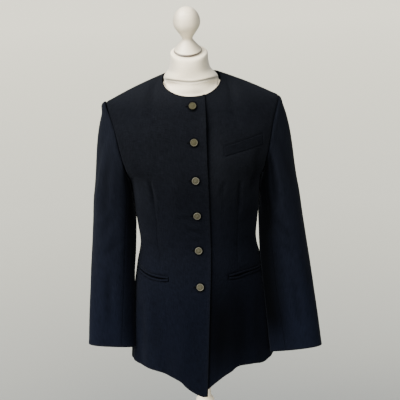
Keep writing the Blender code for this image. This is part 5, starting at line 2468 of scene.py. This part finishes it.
        # The foot takes the dark finish: a painted shadow in the gap under the finial's rim.
        for polygon in item.data.polygons:
            polygon.material_index = int(polygon.center.z < self.bare_height)
        item.data.transform(Matrix.Translation(Vector(self.finial_foot))
                            @ Matrix.Rotation(math.radians(self.finial_tilt), 4, "X"))

    def build(self, jersey: Material, paint: Material, raw_wood: Material) -> None:
        """Build and dress the torso and the finial.

        Args:
            jersey: The cover's finish.
            paint: The finial's finish.
            raw_wood: The dark finish of the finial's foot, a painted shadow.
        """
        dress(self.torso(), "form_jersey", jersey, replaces="form_torso")
        self.top_off(paint, raw_wood)


@dataclass
class Stand:
    """The turned column with its ball, and the round base."""

    column_radius: float = 0.0160
    flange_radius: float = 0.030
    flange_height: float = 0.012
    edge: float = 0.0015
    ball_radius: float = 0.0245
    ball_z: float = 0.518
    base_radius: float = 0.185
    base_top: float = 0.046
    torso_foot: float = 0.745
    gap: float = 0.0003

    def arc(self, centre: Place, radius: float, start: float, end: float,
            steps: int) -> list[Place]:
        """Points of a profile round an arc.

        Args:
            centre: The arc's centre, as radius and height.
            radius: The arc's radius.
            start: First angle from straight out, in degrees.
            end: Last angle.
            steps: How many steps.

        Returns:
            The points.
        """
        angles = np.radians(np.linspace(start, end, steps + 1))
        return [(centre[0] + radius * math.cos(a), centre[1] + radius * math.sin(a))
                for a in angles]

    def column(self) -> list[Place]:
        """The column's profile, from its flange down past its ball to its foot.

        Returns:
            Radii and heights.
        """
        top, foot = self.torso_foot - self.gap, self.base_top + self.gap
        radius, flange, edge = self.column_radius, self.flange_radius, self.edge
        meet = math.degrees(math.acos(radius / self.ball_radius))
        neck = ((0.0230, top - 0.0155), (0.0180, top - 0.0180), (radius, top - 0.0230))
        flare = ((radius, foot + 0.040), (0.0175, foot + 0.022), (0.0215, foot + 0.010),
                 (flange, foot + 0.0008))
        return [(0.0, top), (flange - edge, top),
                *self.arc((flange - edge, top - edge), edge, 90, 0, 5),
                *self.arc((flange - edge, top - self.flange_height + edge), edge, 0, -60, 4),
                *smooth_line(neck, 0.0012),
                *self.arc((0.0, self.ball_z), self.ball_radius, meet, -meet, 28),
                *smooth_line(flare, 0.0012), (flange, foot), (0.0, foot)]

    def base(self) -> list[Place]:
        """The base's profile, from its top out over its rim to its underside.

        Returns:
            Radii and heights.
        """
        top, radius = self.base_top, self.base_radius
        dish = ((0.058, top - 0.0085), (0.076, top - 0.0150), (0.110, 0.0260),
                (0.150, 0.0215), (radius - 0.008, 0.0180))
        return [(0.0, top), (0.048, top), *self.arc((0.048, top - 0.004), 0.004, 90, 20, 5),
                *smooth_line(dish, 0.004),
                *self.arc((radius - 0.006, 0.012), 0.006, 80, 0, 6),
                *self.arc((radius - 0.004, 0.004), 0.004, 0, -90, 6), (0.0, 0.0)]

    def build(self, paint: Material) -> None:
        """Build and dress the column and the base.

        Args:
            paint: Their finish.
        """
        for node, profile, sides in (("stand_column", self.column(), 96),
                                     ("stand_base", self.base(), 160)):
            item = turn_profile(f"{node}_turned", np.array(profile), sides)
            dress(item, "white_paint", paint, replaces=node)


# The studio


@dataclass
class Studio:
    """A pale floor with painted light, soft light from the front and left, and the camera."""

    camera_place: Point = (0.0082, -2.1312, 1.5952)
    pitch: float = 14.0
    roll: float = 2.4
    lens: float = 79.58
    floor_radius: float = 400.0
    floor_z: float = -0.0004
    sky_colour: Colour = (0.88, 0.94, 1.0)
    sky_strength: float = 0.66

    def light(self, name: str, place: Place, width: float, power: float,
              colour: Colour) -> None:
        """A soft far light.

        Args:
            name: Its name.
            place: Degrees to the right of the camera's side, and above the floor.
            width: How wide it looks, in degrees.
            power: Its power in watts to the square metre.
            colour: Its colour.
        """
        data = bpy.data.lights.new(name, "SUN")
        data.angle, data.energy, data.color = math.radians(width), power, colour
        turn, rise = math.radians(place[0]), math.radians(place[1])
        way = Vector((-math.sin(turn) * math.cos(rise), math.cos(turn) * math.cos(rise),
                      -math.sin(rise)))
        lamp = place_object(name, data)
        lamp.location = way * -4
        lamp.rotation_mode = "QUATERNION"
        lamp.rotation_quaternion = way.to_track_quat("-Z", "Y")

    def build(self, floor_finish: Material) -> None:
        """Set the floor, lights, world and camera.

        Args:
            floor_finish: The floor's finish.
        """
        mesh = bpy.data.meshes.new("floor")
        rim = [(self.floor_radius * math.cos(a), self.floor_radius * math.sin(a),
                self.floor_z) for a in round_angles(64)]
        mesh.from_pydata(rim, [], [tuple(range(len(rim)))])
        mesh.materials.append(floor_finish)
        place_object("floor", mesh)
        world = bpy.data.worlds.new("studio")
        bpy.context.scene.world = world
        world.use_nodes = True
        sky = world.node_tree.nodes["Background"]
        sky.inputs["Color"].default_value = (*self.sky_colour, 1.0)
        sky.inputs["Strength"].default_value = self.sky_strength
        self.light("window", (-60.0, 45.0), 50.0, 12.0, (1.0, 0.985, 0.955))
        self.light("room", (-18.0, 24.0), 70.0, 6.0, (1.0, 0.99, 0.97))
        data = bpy.data.cameras.new("camera")
        data.sensor_width, data.lens = 36.0, self.lens
        camera = place_object("camera", data)
        camera.matrix_world = (Matrix.Translation(Vector(self.camera_place))
                               @ Matrix.Rotation(math.radians(90.0 - self.pitch), 4, "X")
                               @ Matrix.Rotation(math.radians(-self.roll), 4, "Z"))
        bpy.context.scene.camera = camera


def main() -> None:
    """Build every piece, dress it, and set the studio."""
    logging.basicConfig(level=logging.INFO, format="%(name)s: %(message)s")
    wool = WoolTwill("wool").make()
    # The sleeves get a lighter, bluer copy of the body's wool as painted light.
    sleeve_wool = WoolTwill("sleeve_wool", dark=(0.0016, 0.0020, 0.0032),
                            light=(0.0040, 0.0047, 0.0074), low_tint=(0.73, 0.81, 1.06),
                            high_tint=(0.98, 0.99, 1.00)).make()
    thread = DarkFibre("buttonhole_thread", (0.0005, 0.0006, 0.0009),
                       (0.0014, 0.0016, 0.0022), 900.0, (0.60, 0.75), 0.03).make()
    slit_shade = DarkFibre("slit_shade", (0.0002, 0.0002, 0.0003),
                           (0.0005, 0.0005, 0.0007), 700.0, (0.90, 0.98), 0.01).make()
    body = CoatBody()
    body.build(wool)
    Sleeves().build(sleeve_wool)
    Pockets(body).build(wool)
    tree = StitchTree()
    Buttons(body).build(AntiquedBrass().make(), thread, slit_shade, tree)
    BarTacks(body).build(thread, tree)
    paint = WhitePaint().make()
    # A dark brown finish for the finial's foot, painting the shadow under its rim.
    raw_wood = WhitePaint("raw_wood", fresh=(0.055, 0.036, 0.022),
                          yellowed=(0.035, 0.022, 0.013)).make()
    DressForm().build(FormJersey().make(), paint, raw_wood)
    Stand().build(paint)
    Studio().build(StudioFloor().make())
    bpy.context.view_layer.update()


if __name__ == "__main__":
    main()
